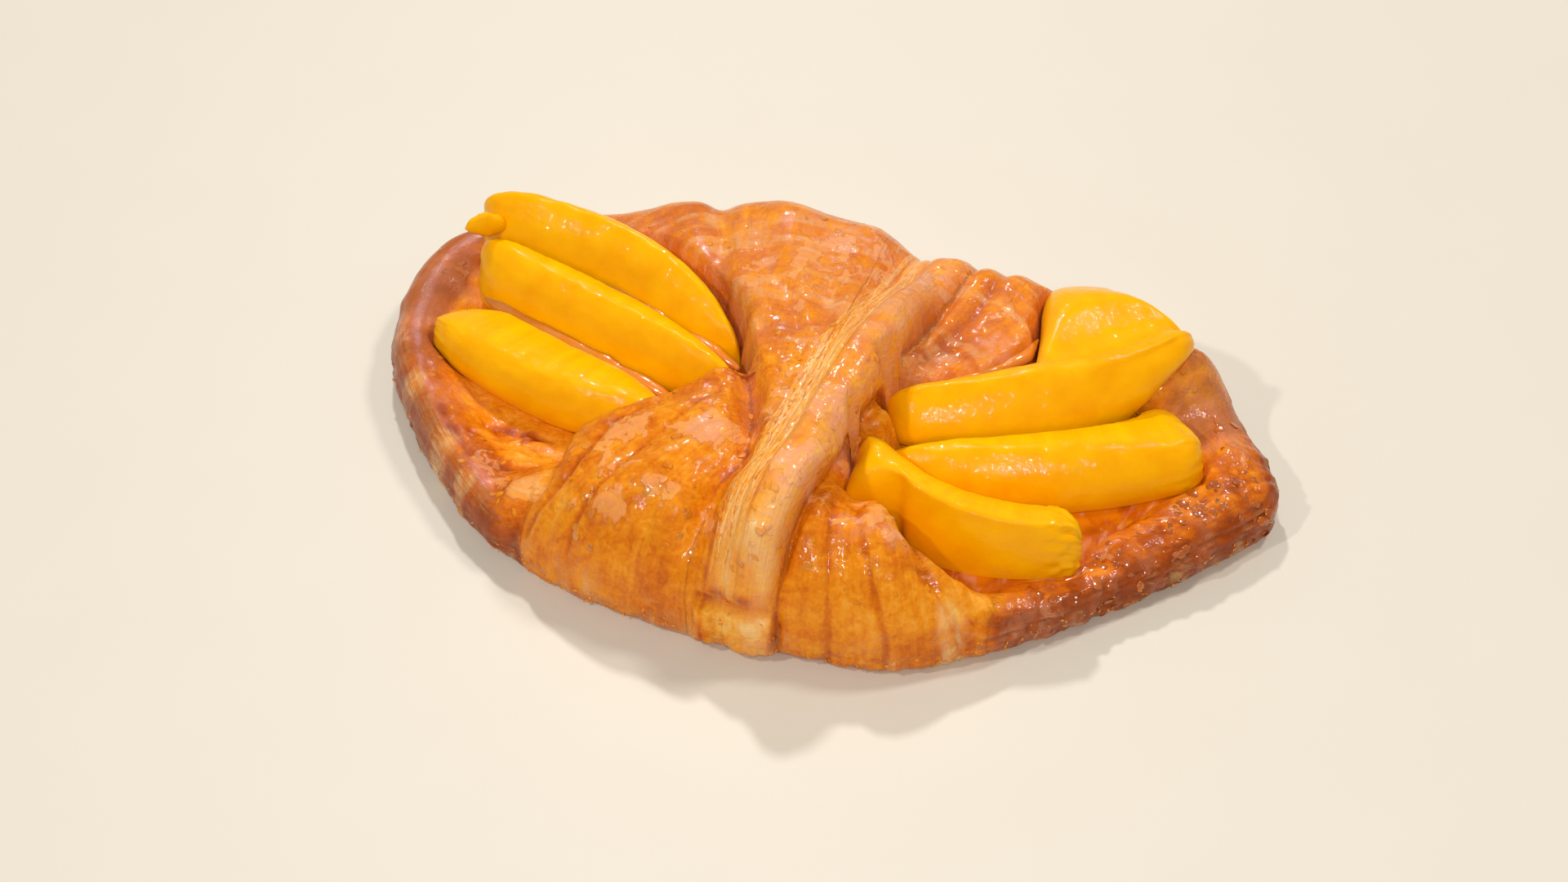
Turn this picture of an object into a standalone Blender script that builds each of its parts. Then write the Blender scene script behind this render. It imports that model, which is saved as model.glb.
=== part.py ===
# Peach danish: one folded puff pastry with two open pockets, three peach slices in each.
# Lengths are in millimetres up to the last step, which turns them into metres.
# X runs along the pastry from pocket to pocket, Y from the front to the back, Z up.
import math

import bmesh
import bpy
import numpy as np
from mathutils.bvhtree import BVHTree

MM = 0.001

# Plan of the pastry: corners of its smooth outline, anticlockwise from the left end
OUTLINE = [(-80.5, 10), (-76, -2.5), (-64, -18), (-49.5, -32.5), (-32, -41), (-12, -45.5),
           (-2, -46.5), (9, -46), (26, -45), (44, -35), (61, -19.5), (74, -5.5), (79.5, 4),
           (73, 18), (61, 32), (43, 38.5), (27, 40), (14, 39.5), (2, 43.5), (-20, 45.5),
           (-40, 43), (-62, 41), (-77, 34.5), (-81, 23)]
ORIGIN = (-0.9, -1.1)      # the point of that plan which lies at the part's origin
ASPECT = 0.62              # depth over width of the plan
EDGE_HEIGHT = 4.5          # height of the widest level of the side wall
FOOT_INSET = 3.0           # how far the side wall curls in under that level
RIM_HEIGHT = 10.0          # thickness of the dough at the two open ends
END_ROLL = 3.4             # width of the rounding along the open ends
BRIM_ROLL = 9.0            # the same at the right end, whose brim slopes down to its edge
BRIM_FROM = (24.0, 44.0)   # stretch of X over which it widens
FRONT_ROLL = 0.85          # extra width of that rounding for each mm of height, at the front
BACK_ROLL = 0.5            # and at the back, where the dough turns over in a fold

# Height of the folded dough above the ground at stations along X, on three lines:
# in front of the waist, across it and behind it
STATIONS = (-80, -66, -54, -43, -36, -21, -7, 3, 13, 21, 31, 41, 54, 80)
FRONT_HEIGHTS = (10, 10, 10, 10, 17.5, 24, 26, 27.5, 25, 23, 18, 12, 10, 10)
WAIST_HEIGHTS = (10.5, 12, 15, 18, 21, 26, 28, 29, 27, 22.5, 21, 18, 13, 11)
BACK_HEIGHTS = (11, 12.5, 15.5, 19.5, 22.5, 26, 26.5, 24.5, 21, 22.5, 22.5, 19.5, 15.5, 12)
FRONT_LINE, BACK_LINE = -28.0, 30.0

# The two pockets: smooth outline of each at mid wall, and its floor
POCKET_LEFT = [(-11, -2.5), (-20, -11), (-29, -16), (-38, -20), (-48, -21), (-59, -12), (-67, 0),
               (-71, 13), (-70, 26), (-62, 34), (-50, 32.5), (-37, 26), (-26, 18.5), (-15.5, 8)]
POCKET_RIGHT = [(15.5, -8), (16.5, -18), (21, -27), (29, -32), (38, -32), (48, -25), (58, -12),
                (64, 0), (65.5, 9), (61.5, 17), (55, 20.5), (50, 26), (45, 31), (39, 33), (34.5, 30),
                (33.5, 25), (33.5, 17.5), (30, 11.5), (24, 5), (18.5, 1)]
POCKET_FLOOR = 7.2
WALL_WIDTHS = (12.0, 4.0)      # width of the slope into a pocket, from a low rim and from a lobe
WALL_HEIGHTS = (11.0, 18.0)    # heights of the dough that have those widths
SLOPE_HEIGHT = 20.5        # behind the right pocket the dough slopes down to this height
SLOPE_WIDTH = 10.0         # over this width

# The band that crosses the waist: its left and right edges are lines in plan, X = a + b * Y
BAND_LEFT = (4.2, 0.15)
BAND_RIGHT = (14.4, 0.165)
BAND_RISE = 5.2            # height of the roll above the dough beside it
BAND_STEPS = 2             # cut layers that show as steps up its left side
BAND_CLIMB = 0.36          # share of the band's width that the steps take
BAND_CREASE = 2.0          # depth of the crease along its right side
BAND_BACK = (10.0, 30.0)   # stretch of Y over which its back end sinks

# Folds pressed into the dough: path in plan, depth and half-width
CREASES = {
    "left_groove": ([(-12, -2), (-8, -10), (-5.5, -18), (-4.5, -25), (-7, -32), (-8.5, -42)], 3.4, 2.2),
    "back_left_valley": ([(-29, 43), (-26, 33), (-23, 24), (-21, 15)], 1.6, 2.4),
    "front_left_fold": ([(-38, -19), (-38, -27), (-41, -36), (-44, -39)], 2.8, 2.4),
    "right_front_fold": ([(15, -25), (17, -35), (18, -48)], 1.0, 1.8),
    "right_back_fold": ([(16, 0), (22, 16), (25, 30), (26, 42)], 1.4, 1.8),
}
SIDE_RELIEF = 0.3          # share of all this relief that is left on the side wall
SIDE_FADE = 8.0            # width over which it fades to that
PLEAT_DEPTH = 0.45         # radial pleats that fan out from the waist
PLEATS = 17
SMOOTH_CORNER = 0.7        # share of them that the right end of the back goes without
WAIST = (5.0, -10.0)

GRID = (66, 42)            # cells of the pastry's top along X and Y
RING_WIDTH = 6.0           # strip inside the outline that follows it in rings
WALL_RINGS = 4             # rings up the upper and the lower side wall
BASE_RINGS = 2

GAP = 0.35                 # clearance between pieces that touch
GIVE_STEP = 0.3            # how far a soft body gives at a time where another presses into it
GIVE_SPREAD = 1.0          # a touched cell gives at the corners this near its foremost one
GIVE_ROUNDS = 150
GIVE_FLOOR = 5.0           # thickness of dough that is always left under a slice
SETTLE_ROUNDS = 6
SETTLE_PROUD = 0.3

# Each slice: three points of its ridge from the waist outwards, then at the same three
# places how far it reaches to the front and to the back and the height of its back edge,
# and the share of its length that each end takes to round off. A lobe swells its back: where
# along the slice, over what share of it before and after, how far out, how deep its valley.
# An outer lift is the share of its height by which its outer end lies higher, and from where.
SLICES = {
    "peach_left_back": dict(
        ridge=[(-15, 6, 23), (-38, 22.5, 26.5), (-69, 29, 25.5)], front=(5, 8.5, 6.5), back=(2.5, 3, 3),
        back_height=(19, 22, 21), ends=(0.4, 0.14)),
    "peach_left_middle": dict(
        ridge=[(-13.5, -1, 22.5), (-38, 10, 21), (-67, 22, 21)], front=(4, 6, 5.5), back=(4, 5, 5),
        back_height=(18, 18.5, 18.5), ends=(0.45, 0.14)),
    "peach_left_front": dict(
        ridge=[(-23, -8.5, 18), (-46, -4.5, 16.5), (-71, 7.5, 14)], front=(4, 4.5, 3.5), back=(6, 10.5, 10),
        back_height=(14, 13.5, 12), ends=(0.35, 0.2)),
    "peach_right_back": dict(
        ridge=[(13.3, -3.0, 20.5), (40.5, 8.5, 24), (59.5, 27, 22.5)], front=(6, 8, -2), back=(2, 4.5, 4),
        back_height=(18, 20.5, 20), ends=(0.14, 0.12), lobe=(0.7, 0.29, 0.48, 18.5, 3.0),
        outer_lift=(0.75, 0.45)),
    "peach_right_middle": dict(
        ridge=[(16, -10.3, 17.5), (42, -5, 18.5), (66, 6, 15.5)], front=(4, 6.5, 5.5), back=(5, 8.5, 14),
        back_height=(14, 14.5, 13), ends=(0.3, 0.1)),
    "peach_right_front": dict(
        ridge=[(13.2, -12.3, 22.8), (30, -24, 21.5), (51, -20.5, 18)], front=(3, 2.5, 2), back=(4, 8.5, 7),
        back_height=(16.5, 16.5, 15.5), ends=(0.12, 0.1)),
}
SLICE_SECTIONS = 18
SLICE_ROUNDING = 2.4       # power of the curve that rounds the ends: 2 is a quarter circle
SLICE_END_HEIGHT = 0.7     # share of its height that a slice keeps at its very ends
SLICE_FLOOR = POCKET_FLOOR + GAP
TIP_LIFT = 0.45            # share of a slice's height by which its waist end lies higher
TIP_SPAN = 0.4             # share of its length over which it comes down
LEAST_FRONT = 0.4          # least reach of a slice to the front

PASTRY_COLOUR = (0.72, 0.33, 0.09, 1.0)
PEACH_COLOUR = (0.95, 0.48, 0.01, 1.0)


def smooth_step(low, high, value):
    t = np.clip((value - low) / (high - low), 0.0, 1.0)
    return t * t * (3.0 - 2.0 * t)


def closed_curve(points, per_span=16):
    """Smooth closed curve through the points, as a dense loop."""
    p = np.array(points, float)
    t = np.linspace(0.0, 1.0, per_span, endpoint=False)[:, None]
    spans = []
    for i in range(len(p)):
        a, b, c, d = (p[(i + k) % len(p)] for k in (-1, 0, 1, 2))
        spans.append(0.5 * (2 * b + (c - a) * t + (2 * a - 5 * b + 4 * c - d) * t ** 2
                            + (3 * b - a - 3 * c + d) * t ** 3))
    return np.concatenate(spans)


def station_height(x, heights):
    """Smooth curve through the heights at the stations along X."""
    xs, zs = np.array(STATIONS, float), np.array(heights, float)
    slopes = np.gradient(zs, xs)
    i = np.clip(np.searchsorted(xs, x) - 1, 0, len(xs) - 2)
    width = xs[i + 1] - xs[i]
    t = np.clip((x - xs[i]) / width, 0.0, 1.0)
    return ((2 * t ** 3 - 3 * t ** 2 + 1) * zs[i] + (t ** 3 - 2 * t ** 2 + t) * width * slopes[i]
            + (3 * t ** 2 - 2 * t ** 3) * zs[i + 1] + (t ** 3 - t ** 2) * width * slopes[i + 1])


def path_distance(x, y, path, closed=False):
    """Distance in plan from each point to a path of straight pieces."""
    ends = np.roll(path, -1, axis=0) if closed else path[1:]
    best = np.full(x.shape, np.inf)
    for (ax, ay), (bx, by) in zip(path, ends):
        length = max((bx - ax) ** 2 + (by - ay) ** 2, 1e-9)
        t = np.clip(((x - ax) * (bx - ax) + (y - ay) * (by - ay)) / length, 0.0, 1.0)
        best = np.minimum(best, np.hypot(x - ax - t * (bx - ax), y - ay - t * (by - ay)))
    return best


def inside(x, y, loop):
    """True where a point lies inside a closed loop."""
    crossed = np.zeros(x.shape, bool)
    for (ax, ay), (bx, by) in zip(loop, np.roll(loop, -1, axis=0)):
        if ay != by:
            spans = (ay > y) != (by > y)
            crossed ^= spans & (x < (bx - ax) * (y - ay) / (by - ay) + ax)
    return crossed


def depth_inside(x, y, loop):
    """Distance to the loop, positive inside it and negative outside."""
    distance = path_distance(x, y, loop, closed=True)
    return np.where(inside(x, y, loop), distance, -distance)


OUTLINE_LOOP = closed_curve(OUTLINE)
POCKET_LOOPS = [closed_curve(POCKET_LEFT, 8), closed_curve(POCKET_RIGHT, 8)]


def dough_height(x, y):
    """Height of the folded dough with neither pockets nor rounded edges."""
    front = smooth_step(0.0, FRONT_LINE, y)
    back = smooth_step(0.0, BACK_LINE, y)
    return (front * station_height(x, FRONT_HEIGHTS) + back * station_height(x, BACK_HEIGHTS)
            + (1 - front - back) * station_height(x, WAIST_HEIGHTS))


def band_share(x, y):
    """0 at the band's left edge and 1 at its right edge."""
    left = BAND_LEFT[0] + BAND_LEFT[1] * y
    right = BAND_RIGHT[0] + BAND_RIGHT[1] * y
    return (x - left) / (right - left)


def slope_behind(x, y, depth):
    """How far the dough comes down to the right pocket's back edge, from 0 to 1."""
    there = smooth_step(-6, 0, y) * smooth_step(38, 30, x) * smooth_step(1.0, 1.5, band_share(x, y))
    return there * smooth_step(-SLOPE_WIDTH, -1.0, depth)


def top_height(x, y, edge):
    """Height of the pastry's top, where edge is the distance to the outline."""
    depths = [depth_inside(x, y, loop) for loop in POCKET_LOOPS]
    dough = dough_height(x, y)
    dough = dough - slope_behind(x, y, depths[1]) * np.maximum(dough - SLOPE_HEIGHT, 0.0)
    wall = np.interp(dough, WALL_HEIGHTS, WALL_WIDTHS)
    height = dough
    for depth in depths:
        share = smooth_step(-wall / 2, wall / 2, depth)
        height = height + share * (POCKET_FLOOR - height)
    tall = np.maximum(dough - RIM_HEIGHT, 0.0)
    roll = END_ROLL + (BRIM_ROLL - END_ROLL) * smooth_step(*BRIM_FROM, x)
    roll = roll + tall * (BACK_ROLL + (FRONT_ROLL - BACK_ROLL) * smooth_step(10, -10, y))
    round_off = np.sqrt(1.0 - (1.0 - np.clip(edge / roll, 0.0, 1.0)) ** 2)
    return EDGE_HEIGHT + (height - EDGE_HEIGHT) * round_off


def band_relief(x, y):
    """The rolled band over the waist: cut layers on its left, a crease on its right."""
    u = band_share(x, y)
    climb = np.clip(u / BAND_CLIMB, 0.0, 1.0) * BAND_STEPS
    steps = (np.floor(climb) + smooth_step(0.3, 1.0, climb % 1.0)) / BAND_STEPS
    roll = 0.85 * steps + 0.15 * np.sin(np.pi * np.clip((u - 0.2) / 0.8, 0.0, 1.0))
    roll = roll * smooth_step(1.0, 0.75, u)
    crease = np.exp(-((u - 1.0) / 0.12) ** 2)
    return (BAND_RISE * roll - BAND_CREASE * crease) * (1.0 - 0.6 * smooth_step(*BAND_BACK, y))


def pleat_relief(x, y):
    """Low pleats that fan out from the waist and fade on the rims and in the pockets."""
    angle = np.arctan2(y - WAIST[1], x - WAIST[0])
    reach = np.hypot(x - WAIST[0], y - WAIST[1])
    share = smooth_step(8, 20, reach) * smooth_step(12, 18, dough_height(x, y))
    share = share * (1.0 - SMOOTH_CORNER * smooth_step(10, 16, x) * smooth_step(0, 8, y))
    return PLEAT_DEPTH * share * np.sin(PLEATS * angle + 1.3 * np.sin(3 * angle))


def relief(x, y):
    """How far the surface stands out from the plain form, along its own normal."""
    edge = path_distance(x, y, OUTLINE_LOOP, closed=True)
    out = band_relief(x, y) + pleat_relief(x, y)
    for path, depth, width in CREASES.values():
        out = out - depth * np.exp(-(path_distance(x, y, np.array(path, float)) / width) ** 2)
    for loop in POCKET_LOOPS:
        out = out * smooth_step(2.0, -2.0, depth_inside(x, y, loop))
    return out * (SIDE_RELIEF + (1.0 - SIDE_RELIEF) * smooth_step(0.0, SIDE_FADE, edge))


def plan_radius(angle):
    """Distance from the plan's centre to the outline in each direction."""
    around = np.unwrap(np.arctan2(OUTLINE_LOOP[:, 1], OUTLINE_LOOP[:, 0]))
    reach = np.hypot(OUTLINE_LOOP[:, 0], OUTLINE_LOOP[:, 1])
    full = 2 * math.pi
    turns = np.concatenate([around - full, around, around + full])
    order = np.argsort(turns)
    return np.interp(angle, turns[order], np.tile(reach, 3)[order])


def square_to_plan(u, v, inset):
    """Maps the square from -1 to 1 onto the outline, pulled in by the inset."""
    a, b = u * np.sqrt(1 - v * v / 2), v * np.sqrt(1 - u * u / 2)
    angle = np.arctan2(b * ASPECT, a)
    reach = np.hypot(a, b) * (plan_radius(angle) - inset)
    return reach * np.cos(angle), reach * np.sin(angle)


def pastry_surface():
    """Points and faces of the closed pastry body, before the relief."""
    nu, nv = GRID
    u, v = np.meshgrid(np.linspace(-1, 1, nu + 1), np.linspace(-1, 1, nv + 1))
    x, y = square_to_plan(u, v, RING_WIDTH)
    points = [(px, py, None) for px, py in zip(x.ravel(), y.ravel())]
    index = np.arange((nu + 1) * (nv + 1)).reshape(nv + 1, nu + 1)
    faces = [(index[j, i], index[j, i + 1], index[j + 1, i + 1], index[j + 1, i])
             for j in range(nv) for i in range(nu)]
    border = np.concatenate([index[0, :-1], index[:-1, -1], index[-1, :0:-1], index[:0:-1, 0]])
    bx, by = x.ravel()[border], y.ravel()[border]
    angle = np.arctan2(by, bx)
    outer = plan_radius(angle)
    rings = [border]

    def add_ring(reach, height):
        start = len(points)
        heights = np.full(len(border), np.nan) if height is None else np.full(len(border), height)
        points.extend(zip(reach * np.cos(angle), reach * np.sin(angle), heights))
        rings.append(np.arange(start, start + len(border)))

    for k in range(1, WALL_RINGS + 1):
        add_ring(outer - RING_WIDTH * (1 - math.sin(k / WALL_RINGS * math.pi / 2)), None)
    for k in range(1, WALL_RINGS + 1):
        turn = k / WALL_RINGS * math.pi / 2
        add_ring(outer - FOOT_INSET * (1 - math.cos(turn)), EDGE_HEIGHT * (1 - math.sin(turn)))
    for k in range(1, BASE_RINGS + 1):
        add_ring((outer - FOOT_INSET) * (1 - k / (BASE_RINGS + 1)), 0.0)
    for lower, upper in zip(rings, rings[1:]):
        for a, b, c, d in zip(lower, np.roll(lower, -1), np.roll(upper, -1), upper):
            faces.append((d, c, b, a))
    points.append((0.0, 0.0, 0.0))
    last = len(points) - 1
    faces.extend((last, b, a) for a, b in zip(rings[-1], np.roll(rings[-1], -1)))
    return points, faces


def lay_out(points):
    """Gives each point its height: the top follows top_height, the rest is set already."""
    p = np.array([(x, y, np.nan if z is None else z) for x, y, z in points])
    top = np.isnan(p[:, 2])
    edge = path_distance(p[top, 0], p[top, 1], OUTLINE_LOOP, closed=True)
    p[top, 2] = top_height(p[top, 0], p[top, 1], edge)
    return p


def make_material(name, colour, roughness):
    material = bpy.data.materials.new(name)
    material.use_nodes = True
    shader = material.node_tree.nodes["Principled BSDF"]
    shader.inputs["Base Color"].default_value = colour
    shader.inputs["Roughness"].default_value = roughness
    material.diffuse_color = colour
    return material


def make_object(name, points, faces, material):
    """One object from points in millimetres, its faces split into triangles."""
    mesh = bpy.data.meshes.new(name)
    placed = (points - np.array((*ORIGIN, 0.0))) * MM
    mesh.from_pydata([tuple(p) for p in placed], [], [tuple(map(int, f)) for f in faces])
    work = bmesh.new()
    work.from_mesh(mesh)
    bmesh.ops.triangulate(work, faces=work.faces[:])
    bmesh.ops.recalc_face_normals(work, faces=work.faces[:])
    work.to_mesh(mesh)
    work.free()
    mesh.shade_smooth()
    mesh.materials.append(material)
    obj = bpy.data.objects.new(name, mesh)
    bpy.context.scene.collection.objects.link(obj)
    return obj


def three_way(values, t):
    """Smooth value along a slice from its value at the start, the middle and the end."""
    a, b, c = (np.array(v, float) for v in values)
    return a * (1 - t) * (1 - 2 * t) + b * 4 * t * (1 - t) + c * t * (2 * t - 1)


def slice_section(front, back, floor, ridge, back_height, valley):
    """Section across a slice as (across, height): skin side, ridge, cut face, pit side, base."""
    rise = ridge - floor
    drop = back_height - floor
    return [(-front * 0.80, floor), (-front, floor + rise * 0.20), (-front * 0.98, floor + rise * 0.42),
            (-front * 0.80, floor + rise * 0.66), (-front * 0.48, floor + rise * 0.87),
            (-front * 0.12, floor + rise * 0.99),
            (back * 0.25, ridge - (ridge - back_height) * 0.12 - valley),
            (back * 0.60, ridge - (ridge - back_height) * 0.45 - valley * 0.3), (back * 0.90, back_height),
            (back, floor + drop * 0.6), (back * 0.92, floor + drop * 0.2), (back * 0.70, floor),
            (0.0, floor)]


def slice_surface(ridge, front, back, back_height, ends, lobe=(0.5, 1.0, 1.0, 0.0, 0.0),
                  outer_lift=(0.0, 0.5)):
    """Points and faces of one peach slice, lofted along its ridge, and the way in which its
    back gives."""
    points, ways = [], []
    count = SLICE_SECTIONS
    for k in range(1, count):
        t = (1 - math.cos(math.pi * k / count)) / 2
        here = three_way(ridge, t)
        ahead = three_way(ridge, min(t + 0.01, 1.0)) - three_way(ridge, max(t - 0.01, 0.0))
        side = np.array([-ahead[1], ahead[0]]) / math.hypot(ahead[0], ahead[1])
        if side[1] < 0:
            side = -side
        taper = min((t / ends[0]), 1.0) if t < 0.5 else min((1 - t) / ends[1], 1.0)
        full = (1 - (1 - taper) ** SLICE_ROUNDING) ** (1 / SLICE_ROUNDING)
        keep = SLICE_END_HEIGHT + (1 - SLICE_END_HEIGHT) * full
        span = lobe[1] if t < lobe[0] else lobe[2]
        swell = math.cos(min(abs(t - lobe[0]) / span, 1.0) * math.pi / 2)
        height = SLICE_FLOOR + (here[2] - SLICE_FLOOR) * keep
        edge = SLICE_FLOOR + (three_way(back_height, t) - SLICE_FLOOR) * keep
        lift = TIP_LIFT * smooth_step(TIP_SPAN, 0.0, t) + outer_lift[0] * smooth_step(outer_lift[1], 1.0, t)
        floor = SLICE_FLOOR + (height - SLICE_FLOOR) * lift
        reach = (three_way(back, t) + lobe[3] * swell) * full
        section = slice_section(max(three_way(front, t), LEAST_FRONT) * full, reach, floor, height,
                                min(edge, height - 0.5), lobe[4] * swell)
        points.extend((here[0] + side[0] * a, here[1] + side[1] * a, z) for a, z in section)
        ways.extend((-side[0], -side[1], 0.0) if a > 0 else (0.0, 0.0, 0.0) for a, z in section)
    width = len(section)
    faces = []
    for k in range(count - 2):
        for i in range(width):
            j = (i + 1) % width
            faces.append((k * width + i, k * width + j, (k + 1) * width + j, (k + 1) * width + i))
    for t, first, turn in ((0.0, 0, 1), (1.0, (count - 2) * width, -1)):
        here = three_way(ridge, t)
        lift = TIP_LIFT * smooth_step(TIP_SPAN, 0.0, t) + outer_lift[0] * smooth_step(outer_lift[1], 1.0, t)
        middle = SLICE_END_HEIGHT * (1 + lift) / 2
        points.append((here[0], here[1], SLICE_FLOOR + (here[2] - SLICE_FLOOR) * middle))
        ways.append((0.0, 0.0, 0.0))
        tip = len(points) - 1
        for i in range(width):
            faces.append((tip, first + (i + 1) % width, first + i)[::turn])
    return np.array(points, float), faces, np.array(ways)


def point_normals(points, faces):
    """Normals at the points of a closed body, pointing out of it."""
    mesh = bpy.data.meshes.new("normals")
    mesh.from_pydata([tuple(p) for p in points], [], [tuple(int(i) for i in face) for face in faces])
    work = bmesh.new()
    work.from_mesh(mesh)
    bmesh.ops.recalc_face_normals(work, faces=work.faces[:])
    work.normal_update()
    normals = np.array([v.normal[:] for v in work.verts])
    work.free()
    bpy.data.meshes.remove(mesh)
    return normals


def swollen(points, faces):
    """The body grown by the gap on all sides."""
    return points + GAP * point_normals(points, faces)


def give_way(points, faces, ways, others):
    """Moves the points of a body along their own ways until it clears the other bodies by
    the gap. Of each cell that touches, the corners give that lie farthest against their way."""
    sides = [tuple(int(i) for i in face) for face in faces]
    trees = [BVHTree.FromPolygons([tuple(p) for p in swollen(body, body_sides)], body_sides)
             for body, body_sides in others]
    for _ in range(GIVE_ROUNDS):
        body = BVHTree.FromPolygons([tuple(p) for p in points], sides)
        touched = {face for tree in trees for face, _ in body.overlap(tree)}
        if not touched:
            break
        moving = set()
        for face in touched:
            corners = np.array([i for i in sides[face] if ways[i].any()], int)
            if len(corners):
                reach = (points[corners] * ways[corners]).sum(axis=1)
                moving.update(corners[reach < reach.min() + GIVE_SPREAD].tolist())
        moving = sorted(moving)
        points[moving] += GIVE_STEP * ways[moving]
        points[moving, 2] = np.maximum(points[moving, 2], GIVE_FLOOR)
    return points


def settle(points, faces, gave):
    """Evens out the dough that gave way: no such point stands proud of those round it."""
    pairs = {(a, b) for face in faces for a, b in zip(face, (*face[1:], face[0]))}
    pairs = np.array(sorted(pairs | {(b, a) for a, b in pairs}), int)
    count = np.bincount(pairs[:, 0], minlength=len(points))
    for _ in range(SETTLE_ROUNDS):
        around = np.bincount(pairs[:, 0], points[pairs[:, 1], 2], minlength=len(points)) / count
        points[gave, 2] = np.minimum(points[gave, 2], around[gave] + SETTLE_PROUD)
    return points


def main():
    for obj in list(bpy.data.objects):
        bpy.data.objects.remove(obj)
    pastry_material = make_material("pastry", PASTRY_COLOUR, 0.35)
    peach_material = make_material("peach", PEACH_COLOUR, 0.25)

    points, faces = pastry_surface()
    points = lay_out(points)
    raised = smooth_step(0.0, EDGE_HEIGHT, points[:, 2]) * relief(points[:, 0], points[:, 1])
    points = points + point_normals(points, faces) * raised[:, None]
    points[:, 2] = np.maximum(points[:, 2], 0.0)

    slices = []
    for name, sizes in SLICES.items():
        body, sides, ways = slice_surface(**sizes)
        body = give_way(body, sides, ways, slices)
        slices.append((body, sides))
        make_object(name, body, sides, peach_material)
    height = points[:, 2].copy()
    points = give_way(points, faces, np.tile((0.0, 0.0, -1.0), (len(points), 1)), slices)
    points = settle(points, faces, points[:, 2] < height)
    make_object("pastry", points, faces, pastry_material)


main()
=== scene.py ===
import math

import bpy
import numpy as np
from mathutils import Matrix, Vector
from mathutils.bvhtree import BVHTree


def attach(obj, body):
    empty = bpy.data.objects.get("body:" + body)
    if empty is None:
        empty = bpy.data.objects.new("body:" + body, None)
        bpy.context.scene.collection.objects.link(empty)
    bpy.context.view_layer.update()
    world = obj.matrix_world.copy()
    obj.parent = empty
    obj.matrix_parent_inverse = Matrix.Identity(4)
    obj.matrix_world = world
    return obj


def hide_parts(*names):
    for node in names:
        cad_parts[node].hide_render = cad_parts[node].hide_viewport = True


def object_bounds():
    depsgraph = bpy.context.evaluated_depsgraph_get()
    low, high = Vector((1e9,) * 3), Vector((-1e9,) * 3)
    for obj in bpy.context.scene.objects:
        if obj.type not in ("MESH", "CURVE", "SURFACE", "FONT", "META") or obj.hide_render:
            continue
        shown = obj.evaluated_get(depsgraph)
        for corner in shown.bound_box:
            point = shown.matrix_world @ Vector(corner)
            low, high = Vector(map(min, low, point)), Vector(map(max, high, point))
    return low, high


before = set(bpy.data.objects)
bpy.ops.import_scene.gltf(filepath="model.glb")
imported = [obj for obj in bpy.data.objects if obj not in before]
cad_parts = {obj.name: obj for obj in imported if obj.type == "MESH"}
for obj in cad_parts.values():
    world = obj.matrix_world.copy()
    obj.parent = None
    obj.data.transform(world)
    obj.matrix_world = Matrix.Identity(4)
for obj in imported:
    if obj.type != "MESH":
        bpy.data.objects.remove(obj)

# Peach danish: lengths are in millimetres up to the step that makes a mesh.
# X runs along the pastry, Y from its front to its back, Z up.
mm = 0.001
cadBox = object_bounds()


# Numbers and curves

def smoothStep(low, high, value):
    t = np.clip((value - low) / (high - low), 0.0, 1.0)
    return t * t * (3.0 - 2.0 * t)


def bell(distance, width):
    return np.exp(-(distance / width) ** 2)


def noise(x, y, seed, octaves=1):
    # smooth, from -1 to 1, about one bump for each unit
    total, weight = 0.0, 0.0
    for k in range(octaves):
        table = np.random.default_rng(seed * 37 + k).uniform(-1.0, 1.0, (64, 64))
        gx, gy = x * 2.0 ** k + 17.3 * k, y * 2.0 ** k - 9.1 * k
        ix, iy = np.floor(gx).astype(int), np.floor(gy).astype(int)
        fx, fy = smoothStep(0.0, 1.0, gx - ix), smoothStep(0.0, 1.0, gy - iy)
        near = table[ix % 64, iy % 64] * (1 - fx) + table[(ix + 1) % 64, iy % 64] * fx
        far = table[ix % 64, (iy + 1) % 64] * (1 - fx) + table[(ix + 1) % 64, (iy + 1) % 64] * fx
        total = total + (near * (1 - fy) + far * fy) * 0.5 ** k
        weight += 0.5 ** k
    return total / weight


def closedCurve(points, perSpan):
    p = np.array(points, float)
    t = np.linspace(0.0, 1.0, perSpan, endpoint=False)[:, None]
    spans = []
    for i in range(len(p)):
        a, b, c, d = (p[(i + k) % len(p)] for k in (-1, 0, 1, 2))
        spans.append(0.5 * (2 * b + (c - a) * t + (2 * a - 5 * b + 4 * c - d) * t ** 2
                            + (3 * b - a - 3 * c + d) * t ** 3))
    return np.concatenate(spans)


def pathDistance(x, y, path, closed=False):
    path = np.array(path, float)
    ends = np.roll(path, -1, axis=0) if closed else path[1:]
    best = np.full(x.shape, np.inf)
    for (ax, ay), (bx, by) in zip(path, ends):
        dx, dy = bx - ax, by - ay
        t = np.clip(((x - ax) * dx + (y - ay) * dy) / max(dx * dx + dy * dy, 1e-9), 0.0, 1.0)
        best = np.minimum(best, (x - ax - t * dx) ** 2 + (y - ay - t * dy) ** 2)
    return np.sqrt(best)


def depthInside(x, y, loop):
    # distance to a closed loop, positive inside it
    crossed = np.zeros(x.shape, bool)
    for (ax, ay), (bx, by) in zip(loop, np.roll(loop, -1, axis=0)):
        if ay != by:
            crossed ^= ((ay > y) != (by > y)) & (x < (bx - ax) * (y - ay) / (by - ay) + ax)
    distance = pathDistance(x, y, loop, closed=True)
    return np.where(crossed, distance, -distance)


# Node helpers

def addNode(tree, kind, values=None, links=None, **settings):
    node = tree.nodes.new(kind)
    for name, value in settings.items():
        setattr(node, name, value)
    for name, value in (values or {}).items():
        node.inputs[name].default_value = value
    for name, socket in (links or {}).items():
        tree.links.new(socket, node.inputs[name])
    return node


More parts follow.
